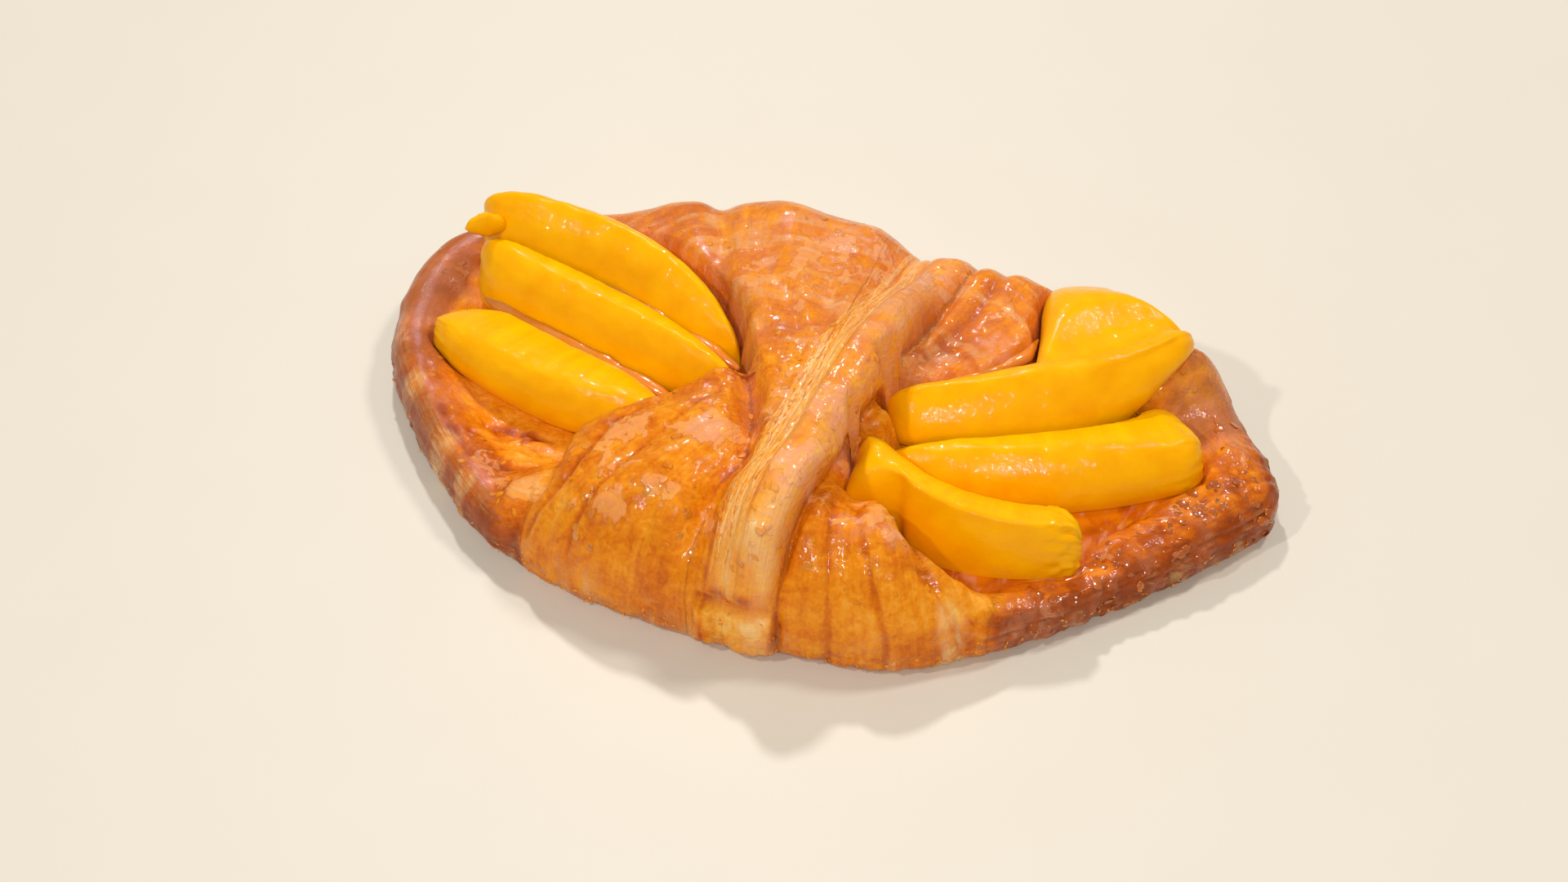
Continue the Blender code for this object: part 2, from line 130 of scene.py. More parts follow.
def mixColour(tree, share, a, b, blend="MIX"):
    node = addNode(tree, "ShaderNodeMix", data_type="RGBA", blend_type=blend)
    for slot, value in ((0, share), (6, a), (7, b)):
        if isinstance(value, (int, float, tuple)):
            node.inputs[slot].default_value = value
        else:
            tree.links.new(value, node.inputs[slot])
    return node.outputs[2]


def mathNode(tree, operation, *values):
    node = addNode(tree, "ShaderNodeMath", operation=operation)
    for slot, value in enumerate(values):
        if isinstance(value, (int, float)):
            node.inputs[slot].default_value = value
        else:
            tree.links.new(value, node.inputs[slot])
    return node.outputs[0]


def rangeNode(tree, value, fromLow, fromHigh, toLow=0.0, toHigh=1.0):
    node = addNode(tree, "ShaderNodeMapRange",
                   {"From Min": fromLow, "From Max": fromHigh, "To Min": toLow, "To Max": toHigh},
                   {"Value": value}, interpolation_type="SMOOTHSTEP")
    return node.outputs[0]


def noiseNode(tree, vector, scale, stretch=(1, 1, 1), detail=3.0, distortion=0.0):
    mapping = addNode(tree, "ShaderNodeMapping", {"Scale": stretch}, {"Vector": vector})
    node = addNode(tree, "ShaderNodeTexNoise", {"Scale": scale, "Detail": detail, "Distortion": distortion},
                   {"Vector": mapping.outputs[0]})
    return node.outputs["Fac"]


def rampNode(tree, value, stops):
    node = addNode(tree, "ShaderNodeValToRGB", links={"Fac": value})
    ramp = node.color_ramp
    while len(ramp.elements) < len(stops):
        ramp.elements.new(0.5)
    for element, (place, colour) in zip(ramp.elements, stops):
        element.position = place
        element.color = (*colour, 1.0)
    return node.outputs[0]


def newMaterial(name, roughness, coat, coatRoughness, subsurface=0.0, subsurfaceScale=0.002):
    material = bpy.data.materials.new(name)
    material.use_nodes = True
    shader = material.node_tree.nodes["Principled BSDF"]
    shader.inputs["Roughness"].default_value = roughness
    shader.inputs["Coat Weight"].default_value = coat
    shader.inputs["Coat Roughness"].default_value = coatRoughness
    shader.inputs["Subsurface Weight"].default_value = subsurface
    shader.inputs["Subsurface Scale"].default_value = subsurfaceScale
    return material, material.node_tree, shader


# The pastry: the same folded form as the solid, with its crust's fine relief

pastry = {
    "outline": [(-80.5, 10), (-76, -2.5), (-64, -18), (-49.5, -32.5), (-32, -41), (-12, -45.5),
                (-2, -46.5), (9, -46), (26, -45), (44, -35), (61, -19.5), (74, -5.5), (79.5, 4),
                (73, 18), (61, 32), (43, 38.5), (27, 40), (14, 39.5), (2, 43.5), (-20, 45.5),
                (-40, 43), (-62, 41), (-77, 34.5), (-81, 23)],
    "origin": (-0.9, -1.1),
    "aspect": 0.62,
    "edgeHeight": 4.5,
    "footInset": 3.0,
    "rimHeight": 10.0,
    "endRoll": 3.4,
    "brimRoll": 9.0,
    "brimFrom": (24.0, 44.0),
    "frontRoll": 0.85,
    "backRoll": 0.5,
    "stations": (-80, -66, -54, -43, -36, -21, -7, 3, 13, 21, 31, 41, 54, 80),
    "frontHeights": (10, 10, 10, 10, 17.5, 24, 26, 27.5, 25, 23, 18, 12, 10, 10),
    "waistHeights": (10.5, 12, 15, 18, 21, 26, 28, 29, 27, 22.5, 21, 18, 13, 11),
    "backHeights": (11, 12.5, 15.5, 19.5, 22.5, 26, 26.5, 24.5, 21, 22.5, 22.5, 19.5, 15.5, 12),
    "frontLine": -28.0,
    "backLine": 30.0,
    "pocketLeft": [(-11, -2.5), (-20, -11), (-29, -16), (-38, -20), (-48, -21), (-59, -12), (-67, 0),
                   (-71, 13), (-70, 26), (-62, 34), (-50, 32.5), (-37, 26), (-26, 18.5), (-15.5, 8)],
    "pocketRight": [(17.5, -8), (18.5, -18), (21.5, -27), (29, -32), (38, -32), (48, -25), (58, -12),
                    (64, 0), (65.5, 9), (61.5, 17), (55, 20.5), (50, 26), (45, 31), (39, 33), (34.5, 30),
                    (33.5, 25), (33.5, 17.5), (30, 11.5), (24, 5), (20, 0)],
    "pocketFloor": 7.2,
    # behind the right pocket the dough slopes down to this height over this width
    "slopeHeight": 20.5,
    "slopeWidth": 10.0,
    # how wide the slope into a pocket is: beside a tall lobe, and from a low rim
    "wallWidth": (3.4, 12.0),
    "wallHeights": (18.0, 11.0),
    "tornLip": 0.55,
    "bandLeft": (4.2, 0.15),
    "bandRight": (14.4, 0.165),
    "bandRise": 5.2,
    # the roll is round from here to its right edge, and its shoulder comes down to the slices' tips
    "rollFrom": 0.42,
    "shoulder": 3.5,
    "shoulderSpan": (-9.0, 9.0, 16.0),
    # where the dough lies lower beside the knob of the right front slice: x, y, reach, drop
    "hollow": (15.0, -23.5, 6.5, 5.5),
    # the roll is narrower beside the knob: y, reach, by how much
    "bandPinch": (-15.0, 7.0, 1.2),
    "bandSteps": 2,
    "bandClimb": 0.36,
    "bandCrease": 2.0,
    "bandBack": (10.0, 30.0),
    "creases": {
        "leftGroove": ([(-12, -2), (-8, -10), (-5.5, -18), (-4.5, -25), (-7, -32), (-8.5, -42)], 3.4, 2.2),
        "backLeftValley": ([(-29, 43), (-26, 33), (-23, 24), (-21, 15)], 1.6, 2.4),
        "frontLeftFold": ([(-38, -19), (-38, -27), (-41, -36), (-44, -39)], 2.8, 2.4),
        "rightFrontFold": ([(15, -25), (17, -35), (18, -48)], 1.0, 1.8),
        "rightBackFold": ([(16, 0), (22, 16), (25, 30), (26, 42)], 1.4, 1.8)},
    "flapCrest": [(-23, 20), (-16, 5), (-11, -4), (-7.5, -11), (-5, -18)],
    "pleatDepth": 0.45,
    "pleats": 17,
    "smoothCorner": 0.7,
    "waist": (5.0, -10.0),
    "sideRelief": 0.3,
    "sideFade": 8.0,
    "ringWidth": 6.0,
    "cells": ((300, 188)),
    # the cells are narrower over the band: where, over what reach, by what share
    "denseCells": (0.11, 0.16, 0.5),
    "wallRings": 12,
    "footWander": 0.8,
    "baseRings": 2,
    "layerPitch": 1.25,
    "layerDepth": 0.4,
    # over what depth the form is eased into the solid's box, in each direction
    "boxGive": (1.2, 1.2, 0.8),
    # a slice's seat leaves the dough alone below this height, and its edge is rounded off so far
    "footClear": 4.0,
    "seatRings": 5,
    "seatRounds": 8,
    # the groove at the left of the band: y, x
    "grooveLine": [(-42, -8.5), (-32, -7), (-25, -4.5), (-18, -5.5), (-10, -8), (-2, -12)],
    # where the form's parts fade in, from the first value to the second
    "fades": {
        "shoulder": (24, 16), "slopeBack": (-6, 0), "slopeLeft": (38, 30), "slopeBand": (1.0, 1.5),
        "bandStep": (0.3, 1.0), "pleatReach": (8, 20), "pleatHeight": (12, 18), "cornerRight": (10, 16),
        "cornerBack": (0, 8), "outsidePocket": (2.0, -2.0), "towardsFront": (10, -10)},
    # how much of the band's relief is steps, how wide its crease is, and how much fades at its back
    "stepShare": 0.85,
    "bandCreaseReach": 0.12,
    "bandBackFade": 0.6,
    # the middle line of the band: its place and its lean
    "bandMiddle": (9.3, 0.158),
    # the folds fan out from these points: on the lobe right of the groove, on the one left of it, and
    # on the two right of the band; a radian of a fan or of a rim counts as so many millimetres
    "fanCentres": ((-2, -26), (-3, -12), (12, -10), (12, -12)),
    "fanReach": 30,
    "rimReach": 62,
    "rimBelow": 12.5}

outlineLoop = closedCurve(pastry["outline"], 10)
pocketLoops = [closedCurve(pastry["pocketLeft"], 8), closedCurve(pastry["pocketRight"], 8)]


def doughFade(name, value):
    return smoothStep(*pastry["fades"][name], value)


def stationHeight(x, heights):
    xs, zs = np.array(pastry["stations"], float), np.array(heights, float)
    slopes = np.gradient(zs, xs)
    i = np.clip(np.searchsorted(xs, x) - 1, 0, len(xs) - 2)
    width = xs[i + 1] - xs[i]
    t = np.clip((x - xs[i]) / width, 0.0, 1.0)
    return ((2 * t ** 3 - 3 * t ** 2 + 1) * zs[i] + (t ** 3 - 2 * t ** 2 + t) * width * slopes[i]
            + (3 * t ** 2 - 2 * t ** 3) * zs[i + 1] + (t ** 3 - t ** 2) * width * slopes[i + 1])


def doughHeight(x, y):
    front = smoothStep(0.0, pastry["frontLine"], y)
    back = smoothStep(0.0, pastry["backLine"], y)
    return (front * stationHeight(x, pastry["frontHeights"]) + back * stationHeight(x, pastry["backHeights"])
            + (1 - front - back) * stationHeight(x, pastry["waistHeights"]))


def bandShare(x, y):
    # 0 at the band's left edge, 1 at its right edge
    left = pastry["bandLeft"][0] + pastry["bandLeft"][1] * y
    right = pastry["bandRight"][0] + pastry["bandRight"][1] * y
    middle, reach, pinch = pastry["bandPinch"]
    right = right - pinch * bell(y - middle, reach)
    return (x - left) / (right - left)


def rollArch(u):
    # 1 on the band and down to 0 at its right edge, like a quarter of a circle
    reach = 1.02 - pastry["rollFrom"]
    return np.sqrt(1.0 - np.clip((u - pastry["rollFrom"]) / reach, 0.0, 1.0) ** 2)


def slopedDough(x, y, depth):
    # the folded dough, which comes down to the right pocket's back edge and to the slices' tips
    dough = doughHeight(x, y)
    middle, whole, none = pastry["shoulderSpan"]
    atTips = smoothStep(none, whole, np.abs(y - middle)) * doughFade("shoulder", x)
    dough = dough - pastry["shoulder"] * atTips * (1.0 - rollArch(bandShare(x, y)))
    hx, hy, reach, drop = pastry["hollow"]
    dough = dough - drop * bell(np.hypot(x - hx, y - hy), reach)
    there = doughFade("slopeBack", y) * doughFade("slopeLeft", x) * doughFade("slopeBand", bandShare(x, y))
    share = there * smoothStep(-pastry["slopeWidth"], -1.0, depth)
    return dough - share * np.maximum(dough - pastry["slopeHeight"], 0.0)


def topHeight(dough, x, y, edge, pockets):
    height = dough
    wall = np.interp(dough, pastry["wallHeights"][::-1], pastry["wallWidth"][::-1]) / 2
    for depth in pockets:
        share = smoothStep(-wall, wall, depth)
        height = height + share * (pastry["pocketFloor"] - height)
    tall = np.maximum(dough - pastry["rimHeight"], 0.0)
    roll = pastry["endRoll"] + (pastry["brimRoll"] - pastry["endRoll"]) * smoothStep(*pastry["brimFrom"], x)
    roll = roll + tall * (pastry["backRoll"]
                          + (pastry["frontRoll"] - pastry["backRoll"]) * doughFade("towardsFront", y))
    roundOff = np.sqrt(1.0 - (1.0 - np.clip(edge / roll, 0.0, 1.0)) ** 2)
    return pastry["edgeHeight"] + (height - pastry["edgeHeight"]) * roundOff


def bandRelief(x, y):
    u = bandShare(x, y)
    climb = np.clip(u / pastry["bandClimb"], 0.0, 1.0) * pastry["bandSteps"]
    steps = (np.floor(climb) + doughFade("bandStep", climb % 1.0)) / pastry["bandSteps"]
    share = pastry["stepShare"]
    roll = share * steps + (1.0 - share) * np.sin(np.pi * np.clip((u - 0.2) / 0.8, 0.0, 1.0))
    roll = roll * rollArch(u)
    crease = bell(u - 1.0, pastry["bandCreaseReach"])
    return ((pastry["bandRise"] * roll - pastry["bandCrease"] * crease)
            * (1.0 - pastry["bandBackFade"] * smoothStep(*pastry["bandBack"], y)))


def foldRelief(x, y, dough, edge, pockets):
    angle = np.arctan2(y - pastry["waist"][1], x - pastry["waist"][0])
    reach = np.hypot(x - pastry["waist"][0], y - pastry["waist"][1])
    share = doughFade("pleatReach", reach) * doughFade("pleatHeight", dough)
    corner = doughFade("cornerRight", x) * doughFade("cornerBack", y)
    share = share * (1.0 - pastry["smoothCorner"] * corner)
    out = bandRelief(x, y) + pastry["pleatDepth"] * share * np.sin(pastry["pleats"] * angle
                                                                  + 1.3 * np.sin(3 * angle))
    for path, depth, width in pastry["creases"].values():
        out = out - depth * bell(pathDistance(x, y, path), width)
    for depth in pockets:
        out = out * doughFade("outsidePocket", depth)
    low = pastry["sideRelief"]
    return out * (low + (1.0 - low) * smoothStep(0.0, pastry["sideFade"], edge))


def foldFlow(x, y, edge, dough, z):
    # millimetres across and along the folds: down the band, fanning over the lobes, along the rims
    u = bandShare(x, y)
    place, lean = pastry["bandMiddle"]
    groove = np.interp(y, *zip(*pastry["grooveLine"]))
    onBand = (u <= 1.0) & ((u >= -0.1) | ((y < -18) & (x > groove)))
    across, along = x - (place + lean * y), y.copy()
    zones = (((x < 4) & (x > groove - 60 * smoothStep(-4, -1, y)) & ~onBand, 1),
             ((x <= groove) & (y < -1) & ~onBand, -1), ((u > 1.0) & (y > -8), 1), ((u > 1.0) & (y <= -8), 1))
    for (zone, turn), (cx, cy) in zip(zones, pastry["fanCentres"]):
        fan = pastry["fanReach"] * np.arctan2(turn * (y - cy), turn * (x - cx))
        across = np.where(zone, fan, across)
        along = np.where(zone, np.hypot(x - cx, y - cy), along)
    rim = dough < pastry["rimBelow"]
    around = pastry["rimReach"] * np.arctan2(y / pastry["aspect"], np.abs(x)) * np.sign(x)
    fall = np.maximum(dough - z, 0.0)
    return np.where(rim, edge - fall, across), np.where(rim, around, along + fall), onBand


def planRadius(angle):
    around = np.unwrap(np.arctan2(outlineLoop[:, 1], outlineLoop[:, 0]))
    reach = np.hypot(outlineLoop[:, 0], outlineLoop[:, 1])
    turns = np.concatenate([around - 2 * math.pi, around, around + 2 * math.pi])
    order = np.argsort(turns)
    return np.interp(angle, turns[order], np.tile(reach, 3)[order])


def denserStations(count):
    t = np.linspace(-1, 1, count + 1)
    place, reach, share = pastry["denseCells"]
    stations = t - share * reach * np.tanh((t - place) / reach)
    return 2 * (stations - stations[0]) / (stations[-1] - stations[0]) - 1


def pastryGrid():
    # a grid over the top, rings down the side wall and across the base
    nu, nv = pastry["cells"]
    rings, inset = pastry["wallRings"], pastry["ringWidth"]
    foot, lip = pastry["footInset"], pastry["edgeHeight"]
    u, v = np.meshgrid(denserStations(nu), np.linspace(-1, 1, nv + 1))
    a, b = u * np.sqrt(1 - v * v / 2), v * np.sqrt(1 - u * u / 2)
    angle = np.arctan2(b * pastry["aspect"], a)
    reach = np.hypot(a, b) * (planRadius(angle) - inset)
    top = np.stack([reach * np.cos(angle), reach * np.sin(angle), np.full(u.shape, np.nan)], -1)
    points = [top.reshape(-1, 3)]
    index = np.arange((nu + 1) * (nv + 1)).reshape(nv + 1, nu + 1)
    quads = [np.stack([index[:-1, :-1], index[:-1, 1:], index[1:, 1:], index[1:, :-1]], -1).reshape(-1, 4)]
    border = np.concatenate([index[0, :-1], index[:-1, -1], index[-1, :0:-1], index[:0:-1, 0]])
    angle = np.arctan2(points[0][border, 1], points[0][border, 0])
    outer = planRadius(angle)
    wander = pastry["footWander"] * noise(angle * 16, angle * 3, 8, 3)
    levels = [(outer - inset * (1 - math.sin(k / rings * math.pi / 2)), math.nan)
              for k in range(1, rings + 1)]
    for k in range(1, rings + 1):
        turn = k / rings * math.pi / 2
        inward = (foot + wander) * (1 - math.cos(turn))
        levels.append((outer - inward, lip * (1 - math.sin(turn))))
    for k in range(1, pastry["baseRings"] + 1):
        levels.append(((outer - foot - wander) * (1 - k / (pastry["baseRings"] + 1)), 0.0))
    inner = border
    count = len(points[0])
    for reach, height in levels:
        heights = np.full(len(border), height)
        points.append(np.stack([reach * np.cos(angle), reach * np.sin(angle), heights], -1))
        ring = np.arange(count, count + len(border))
        count += len(border)
        quads.append(np.stack([inner, ring, np.roll(ring, -1), np.roll(inner, -1)], -1))
        inner = ring
    points.append(np.zeros((1, 3)))
    fan = [(count, int(b), int(a)) for a, b in zip(inner, np.roll(inner, -1))]
    return np.concatenate(points), np.concatenate(quads), fan


def newMesh(name, points, faces, smooth=True):
    mesh = bpy.data.meshes.new(name)
    placed = (np.asarray(points) - np.array((*pastry["origin"], 0.0))) * mm
    mesh.from_pydata(placed.tolist(), [], [list(map(int, f)) for f in faces])
    mesh.update()
    if smooth:
        mesh.shade_smooth()
    return mesh


def newObject(name, mesh, material):
    mesh.materials.clear()
    mesh.materials.append(material)
    obj = bpy.data.objects.new(name, mesh)
    bpy.context.scene.collection.objects.link(obj)
    return obj


def addAttribute(mesh, name, values):
    layer = mesh.attributes.new(name, "FLOAT", "POINT")
    layer.data.foreach_set("value", np.asarray(values, np.float32))


def addFlowMap(mesh, across, along):
    corners = np.zeros(len(mesh.loops), int)
    mesh.loops.foreach_get("vertex_index", corners)
    flow = np.stack([across[corners], along[corners]], -1) * mm
    mesh.uv_layers.new(name="flow").data.foreach_set("uv", flow.ravel())


def vertexNormals(mesh):
    normals = np.zeros(len(mesh.vertices) * 3)
    mesh.vertices.foreach_get("normal", normals)
    return normals.reshape(-1, 3)


# The peach slices

peach = {
    "sizes": {
        "peach_left_back": dict(
            ridge=[(-15, 6, 23), (-38, 22.5, 26.5), (-69, 29, 25.5)], front=(5, 8.5, 6.5), back=(2.5, 3, 3),
            backHeight=(19, 22, 21), ends=(0.4, 0.14), ragged=0.25),
        "peach_left_middle": dict(
            ridge=[(-13.5, -1, 22.5), (-38, 10, 21), (-67, 22, 21)], front=(4, 6, 5.5), back=(4, 5, 5),
            backHeight=(18, 18.5, 18.5), ends=(0.45, 0.14), ragged=0.3),
        "peach_left_front": dict(
            ridge=[(-23, -8.5, 18), (-46, -4.5, 16.5), (-71, 7.5, 14)],
            front=(4, 4.5, 3.5), back=(6, 10.5, 10), backHeight=(14, 13.5, 12), ends=(0.35, 0.2),
            ragged=0.3),
        "peach_right_back": dict(
            ridge=[(13.6, -2.0, 22.5), (40.5, 9.6, 24.3), (59.5, 27, 22.5)], front=(5.6, 7.6, 2.4),
            back=(3, 4.8, 4), backHeight=(19, 21, 20), ends=(0.10, 0.10),
            lobe=(0.7, 0.25, 0.48, 18.5, 2.4),
            outerLift=(0.75, 0.45), ragged=0.2),
        "peach_right_middle": dict(
            ridge=[(16, -9.6, 17.8), (42, -4.2, 18.8), (65.5, 7.2, 15.8)], front=(4, 6.3, 4.6),
            back=(5, 8.5, 13), backHeight=(14, 14.5, 13), ends=(0.3, 0.1), ragged=0.35),
        "peach_right_front": dict(
            ridge=[(13.2, -12.3, 22.8), (30, -24, 21.5), (51, -20.5, 18)],
            front=(3, 2.5, 2), back=(4, 8.5, 7), backHeight=(16.5, 16.5, 15.5), ends=(0.05, 0.08),
            knob=(0.14, 0.13, 4.6, 1.4), ragged=1.2)},
    "sections": 90,
    "perSpan": 6,
    "rounding": 2.4,
    "endHeight": 0.7,
    "tipLift": 0.45,
    "tipSpan": 0.4,
    "gap": 0.35,
    # waves of the flesh: height in millimetres, then how fine it is
    "dimple": (0.16, 4.5),
    "fibre": (0.05, 60, 1.6),
    "tear": (0.8, 20, 2.2),
    "ridgeNick": (0.22, 28, 2.0),
    # how much of the cut flesh's colour a slice shows, where that isn't all of it
    "cutShares": {"peach_right_back": 0.35},
    # the outer skin and the cut flesh, each from dark to light
    "skinColours": ((0.90, 0.37, 0.0), (0.97, 0.46, 0.0)),
    "fleshColours": ((0.87, 0.40, 0.0), (0.92, 0.50, 0.0)),
    # how fine each pattern of the material is, in bumps for each metre
    "patterns": {"mottle": 190, "fine": 900, "waves": 420, "ripples": 1200},
    "fibrePattern": (330, 34, 1)}
peach["floor"] = pastry["pocketFloor"] + peach["gap"]


def threeWay(values, t):
    a, b, c = (np.array(v, float) for v in values)
    return a * (1 - t) * (1 - 2 * t) + b * 4 * t * (1 - t) + c * t * (2 * t - 1)


def sliceSection(front, back, floor, ridge, backHeight, valley):
    rise, drop = ridge - floor, backHeight - floor
    return [(-front * 0.80, floor), (-front, floor + rise * 0.20), (-front * 0.98, floor + rise * 0.42),
            (-front * 0.80, floor + rise * 0.66), (-front * 0.48, floor + rise * 0.87),
            (-front * 0.12, floor + rise * 0.99),
            (back * 0.25, ridge - (ridge - backHeight) * 0.12 - valley),
            (back * 0.60, ridge - (ridge - backHeight) * 0.45 + valley * 0.45), (back * 0.90, backHeight),
            (back, floor + drop * 0.6), (back * 0.92, floor + drop * 0.2), (back * 0.70, floor),
            (0.0, floor)]


def sliceSurface(ridge, front, back, backHeight, ends, ragged, lobe=(0.5, 1.0, 1.0, 0.0, 0.0),
                 outerLift=(0.0, 0.5), knob=(0.0, 0.1, 0.0, 0.0)):
    # a lobe swells the back: where, its reach before and after, how far out, how deep its valley;
    # a knob swells the front: where, its width, how far out, how deep the dip beyond it
    points, ways, cut, spots = [], [], [], []
    count = peach["sections"]
    base = peach["floor"]
    for k in range(1, count):
        t = (1 - math.cos(math.pi * k / count)) / 2
        here = threeWay(ridge, t)
        ahead = threeWay(ridge, min(t + 0.01, 1.0)) - threeWay(ridge, max(t - 0.01, 0.0))
        side = np.array([-ahead[1], ahead[0]]) / math.hypot(ahead[0], ahead[1])
        side = -side if side[1] < 0 else side
        taper = min(t / ends[0], 1.0) if t < 0.5 else min((1 - t) / ends[1], 1.0)
        full = (1 - (1 - taper) ** peach["rounding"]) ** (1 / peach["rounding"])
        keep = peach["endHeight"] + (1 - peach["endHeight"]) * full
        swell = math.cos(min(abs(t - lobe[0]) / (lobe[1] if t < lobe[0] else lobe[2]), 1.0) * math.pi / 2)
        height = base + (here[2] - base) * keep
        edge = base + (threeWay(backHeight, t) - base) * keep
        lift = (peach["tipLift"] * smoothStep(peach["tipSpan"], 0.0, t)
                + outerLift[0] * smoothStep(outerLift[1], 1.0, t))
        floor = base + (height - base) * lift
        bulge = knob[2] * bell(t - knob[0], knob[1] / 2) - knob[3] * bell(t - knob[0] - knob[1], knob[1] / 3)
        reach = (threeWay(back, t) + lobe[3] * swell) * full
        section = sliceSection(max(threeWay(front, t) + bulge, 0.4) * full, reach, floor, height,
                               min(edge, height - 0.5), lobe[4] * swell)
        curve = closedCurve(section, peach["perSpan"])
        plan = here[:2] + side * curve[:, :1]
        points.append(np.column_stack([plan, curve[:, 1]]))
        ways.append(np.where(curve[:, :1] > 0, -np.append(side, 0.0), 0.0))
        step = np.arange(len(curve)) / peach["perSpan"]
        cut.append(smoothStep(4.9, 5.5, step) * smoothStep(9.6, 9.0, step))
        spots.append(np.stack([np.full(len(curve), t), step], -1))
    width = len(curve)
    grid = np.arange((count - 1) * width).reshape(count - 1, width)
    beside = np.roll(grid, -1, 1)
    faces = np.stack([grid[:-1], beside[:-1], beside[1:], grid[1:]], -1).reshape(-1, 4).tolist()
    points = np.concatenate(points)
    tips = []
    for t, row in ((0.0, grid[0]), (1.0, grid[-1])):
        tips.append(points[row].mean(axis=0))
        tip = len(points) + len(tips) - 1
        ring = [(int(a), int(b)) for a, b in zip(row, np.roll(row, -1))]
        faces += [[tip, b, a] if t == 0.0 else [tip, a, b] for a, b in ring]
    points = np.concatenate([points, tips])
    ways = np.concatenate([*ways, np.zeros((2, 3))])
    cut = np.concatenate([*cut, (0.5, 0.5)])
    spots = np.concatenate([*spots, [(0.0, 5.0), (1.0, 5.0)]])
    return points, faces, ways, cut, spots


def bodyNormals(points, faces):
    mesh = newMesh("normals", points, faces, smooth=False)
    normals = vertexNormals(mesh)
    bpy.data.meshes.remove(mesh)
    middle = np.asarray(points).mean(axis=0)
    outward = ((points - middle) * normals).sum()
    return normals if outward > 0 else -normals


def treeOf(points, faces):
    return BVHTree.FromPolygons(np.asarray(points).tolist(), [list(map(int, f)) for f in faces])


def giveWay(points, faces, ways, others):
    # a slice's back gives where the slice behind it presses in
    trees = [treeOf(body + peach["gap"] * bodyNormals(body, sides), sides) for body, sides in others]
    for _ in range(60):
        body = treeOf(points, faces)
        touched = {face for tree in trees for face, _ in body.overlap(tree)}
        moving = sorted({i for face in touched for i in faces[face] if ways[i].any()})
        if not moving:
            break
        points[moving] += 0.25 * ways[moving]
    return points


print("building the peach slices")
slices, sliceBodies = {}, []
for number, (name, sizes) in enumerate(peach["sizes"].items()):
    points, faces, ways, cut, spots = sliceSurface(**sizes)
    points = giveWay(points, faces, ways, sliceBodies)
    normals = bodyNormals(points, faces)
    t, step = spots[:, 0], spots[:, 1]
    high, size = peach["dimple"]
    dimple = high * noise(points[:, 0] / size, (points[:, 1] + points[:, 2]) / size, 40 + number, 2)
    high, along, around = peach["fibre"]
    fibre = high * noise(t * along, step * around, 50 + number, 2) * cut
    high, along, around = peach["tear"]
    atEnd = smoothStep(0.84, 0.97, t)
    tear = high * sizes["ragged"] * noise(t * along, step * around, 60 + number, 3) * atEnd
    high, along, around = peach["ridgeNick"]
    ridgeNick = high * noise(t * along, step * around, 70 + number, 2) * bell(step - 5.3, 0.8)
    lift = points[:, 2] > peach["floor"] + 0.4
    points = points + normals * ((dimple + fibre + tear + ridgeNick) * lift)[:, None]
    slices[name] = (points, faces, cut, spots)
    sliceBodies.append((points, faces))


def peachMaterial():
    material, tree, shader = newMaterial("peachFlesh", roughness=0.3, coat=0.5, coatRoughness=0.05,
                                         subsurface=0.14, subsurfaceScale=0.003)
    shader.inputs["Coat IOR"].default_value = 1.3
    place = addNode(tree, "ShaderNodeTexCoord").outputs["Object"]
    cut = addNode(tree, "ShaderNodeAttribute", attribute_name="cut").outputs["Fac"]
    flow = addNode(tree, "ShaderNodeUVMap", uv_map="flow").outputs[0]
    by = peach["patterns"]
    mottle = noiseNode(tree, place, by["mottle"], detail=4)
    fibre = noiseNode(tree, flow, 1.0, peach["fibrePattern"], detail=3)
    skin = rampNode(tree, mottle, list(zip((0.3, 0.7), peach["skinColours"])))
    flesh = rampNode(tree, fibre, list(zip((0.3, 0.7), peach["fleshColours"])))
    colour = mixColour(tree, cut, skin, flesh)
    tree.links.new(colour, shader.inputs["Base Color"])
    shader.inputs["Subsurface Radius"].default_value = (1.0, 0.5, 0.02)
    shader.inputs["Specular IOR Level"].default_value = 0.05
    fine = noiseNode(tree, place, by["fine"], detail=3)
    rough = mathNode(tree, "ADD", mathNode(tree, "MULTIPLY", mottle, 0.3), 0.16)
    tree.links.new(rough, shader.inputs["Roughness"])
    bumps = mathNode(tree, "ADD", mathNode(tree, "MULTIPLY", mottle, 0.5),
                     mathNode(tree, "MULTIPLY", fine, 0.16))
    bump = addNode(tree, "ShaderNodeBump", {"Strength": 0.35, "Distance": 0.8 * mm}, {"Height": bumps})
    tree.links.new(bump.outputs[0], shader.inputs["Normal"])
    waves = mathNode(tree, "MULTIPLY", noiseNode(tree, place, by["waves"], detail=1), 0.2)
    ripples = mathNode(tree, "MULTIPLY", noiseNode(tree, place, by["ripples"], detail=1), 0.16)
    juice = addNode(tree, "ShaderNodeBump", {"Strength": 1.0, "Distance": 1.0 * mm},
                    {"Height": mathNode(tree, "ADD", waves, ripples)})
    tree.links.new(juice.outputs[0], shader.inputs["Coat Normal"])
    return material


peachFlesh = peachMaterial()
for name, (points, faces, cut, spots) in slices.items():
    mesh = newMesh(name + "_flesh", points, faces)
    addAttribute(mesh, "cut", cut * peach["cutShares"].get(name, 1.0))
    addFlowMap(mesh, spots[:, 0] * 50, spots[:, 1] * 3.0)
    piece = newObject(name + "_flesh", mesh, peachFlesh)
    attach(piece, "root")
    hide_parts(name)


sliverSizes = {
    "root": (-63.2, 24.4, 21.6),
    "way": (-0.86, -0.50),
    "length": 7.4,
    "halfWidth": 1.3,
    "halfHeight": 2.4,
    "rise": 1.0,
    "wobble": 0.18,
    "rows": 16,
    "columns": 14}


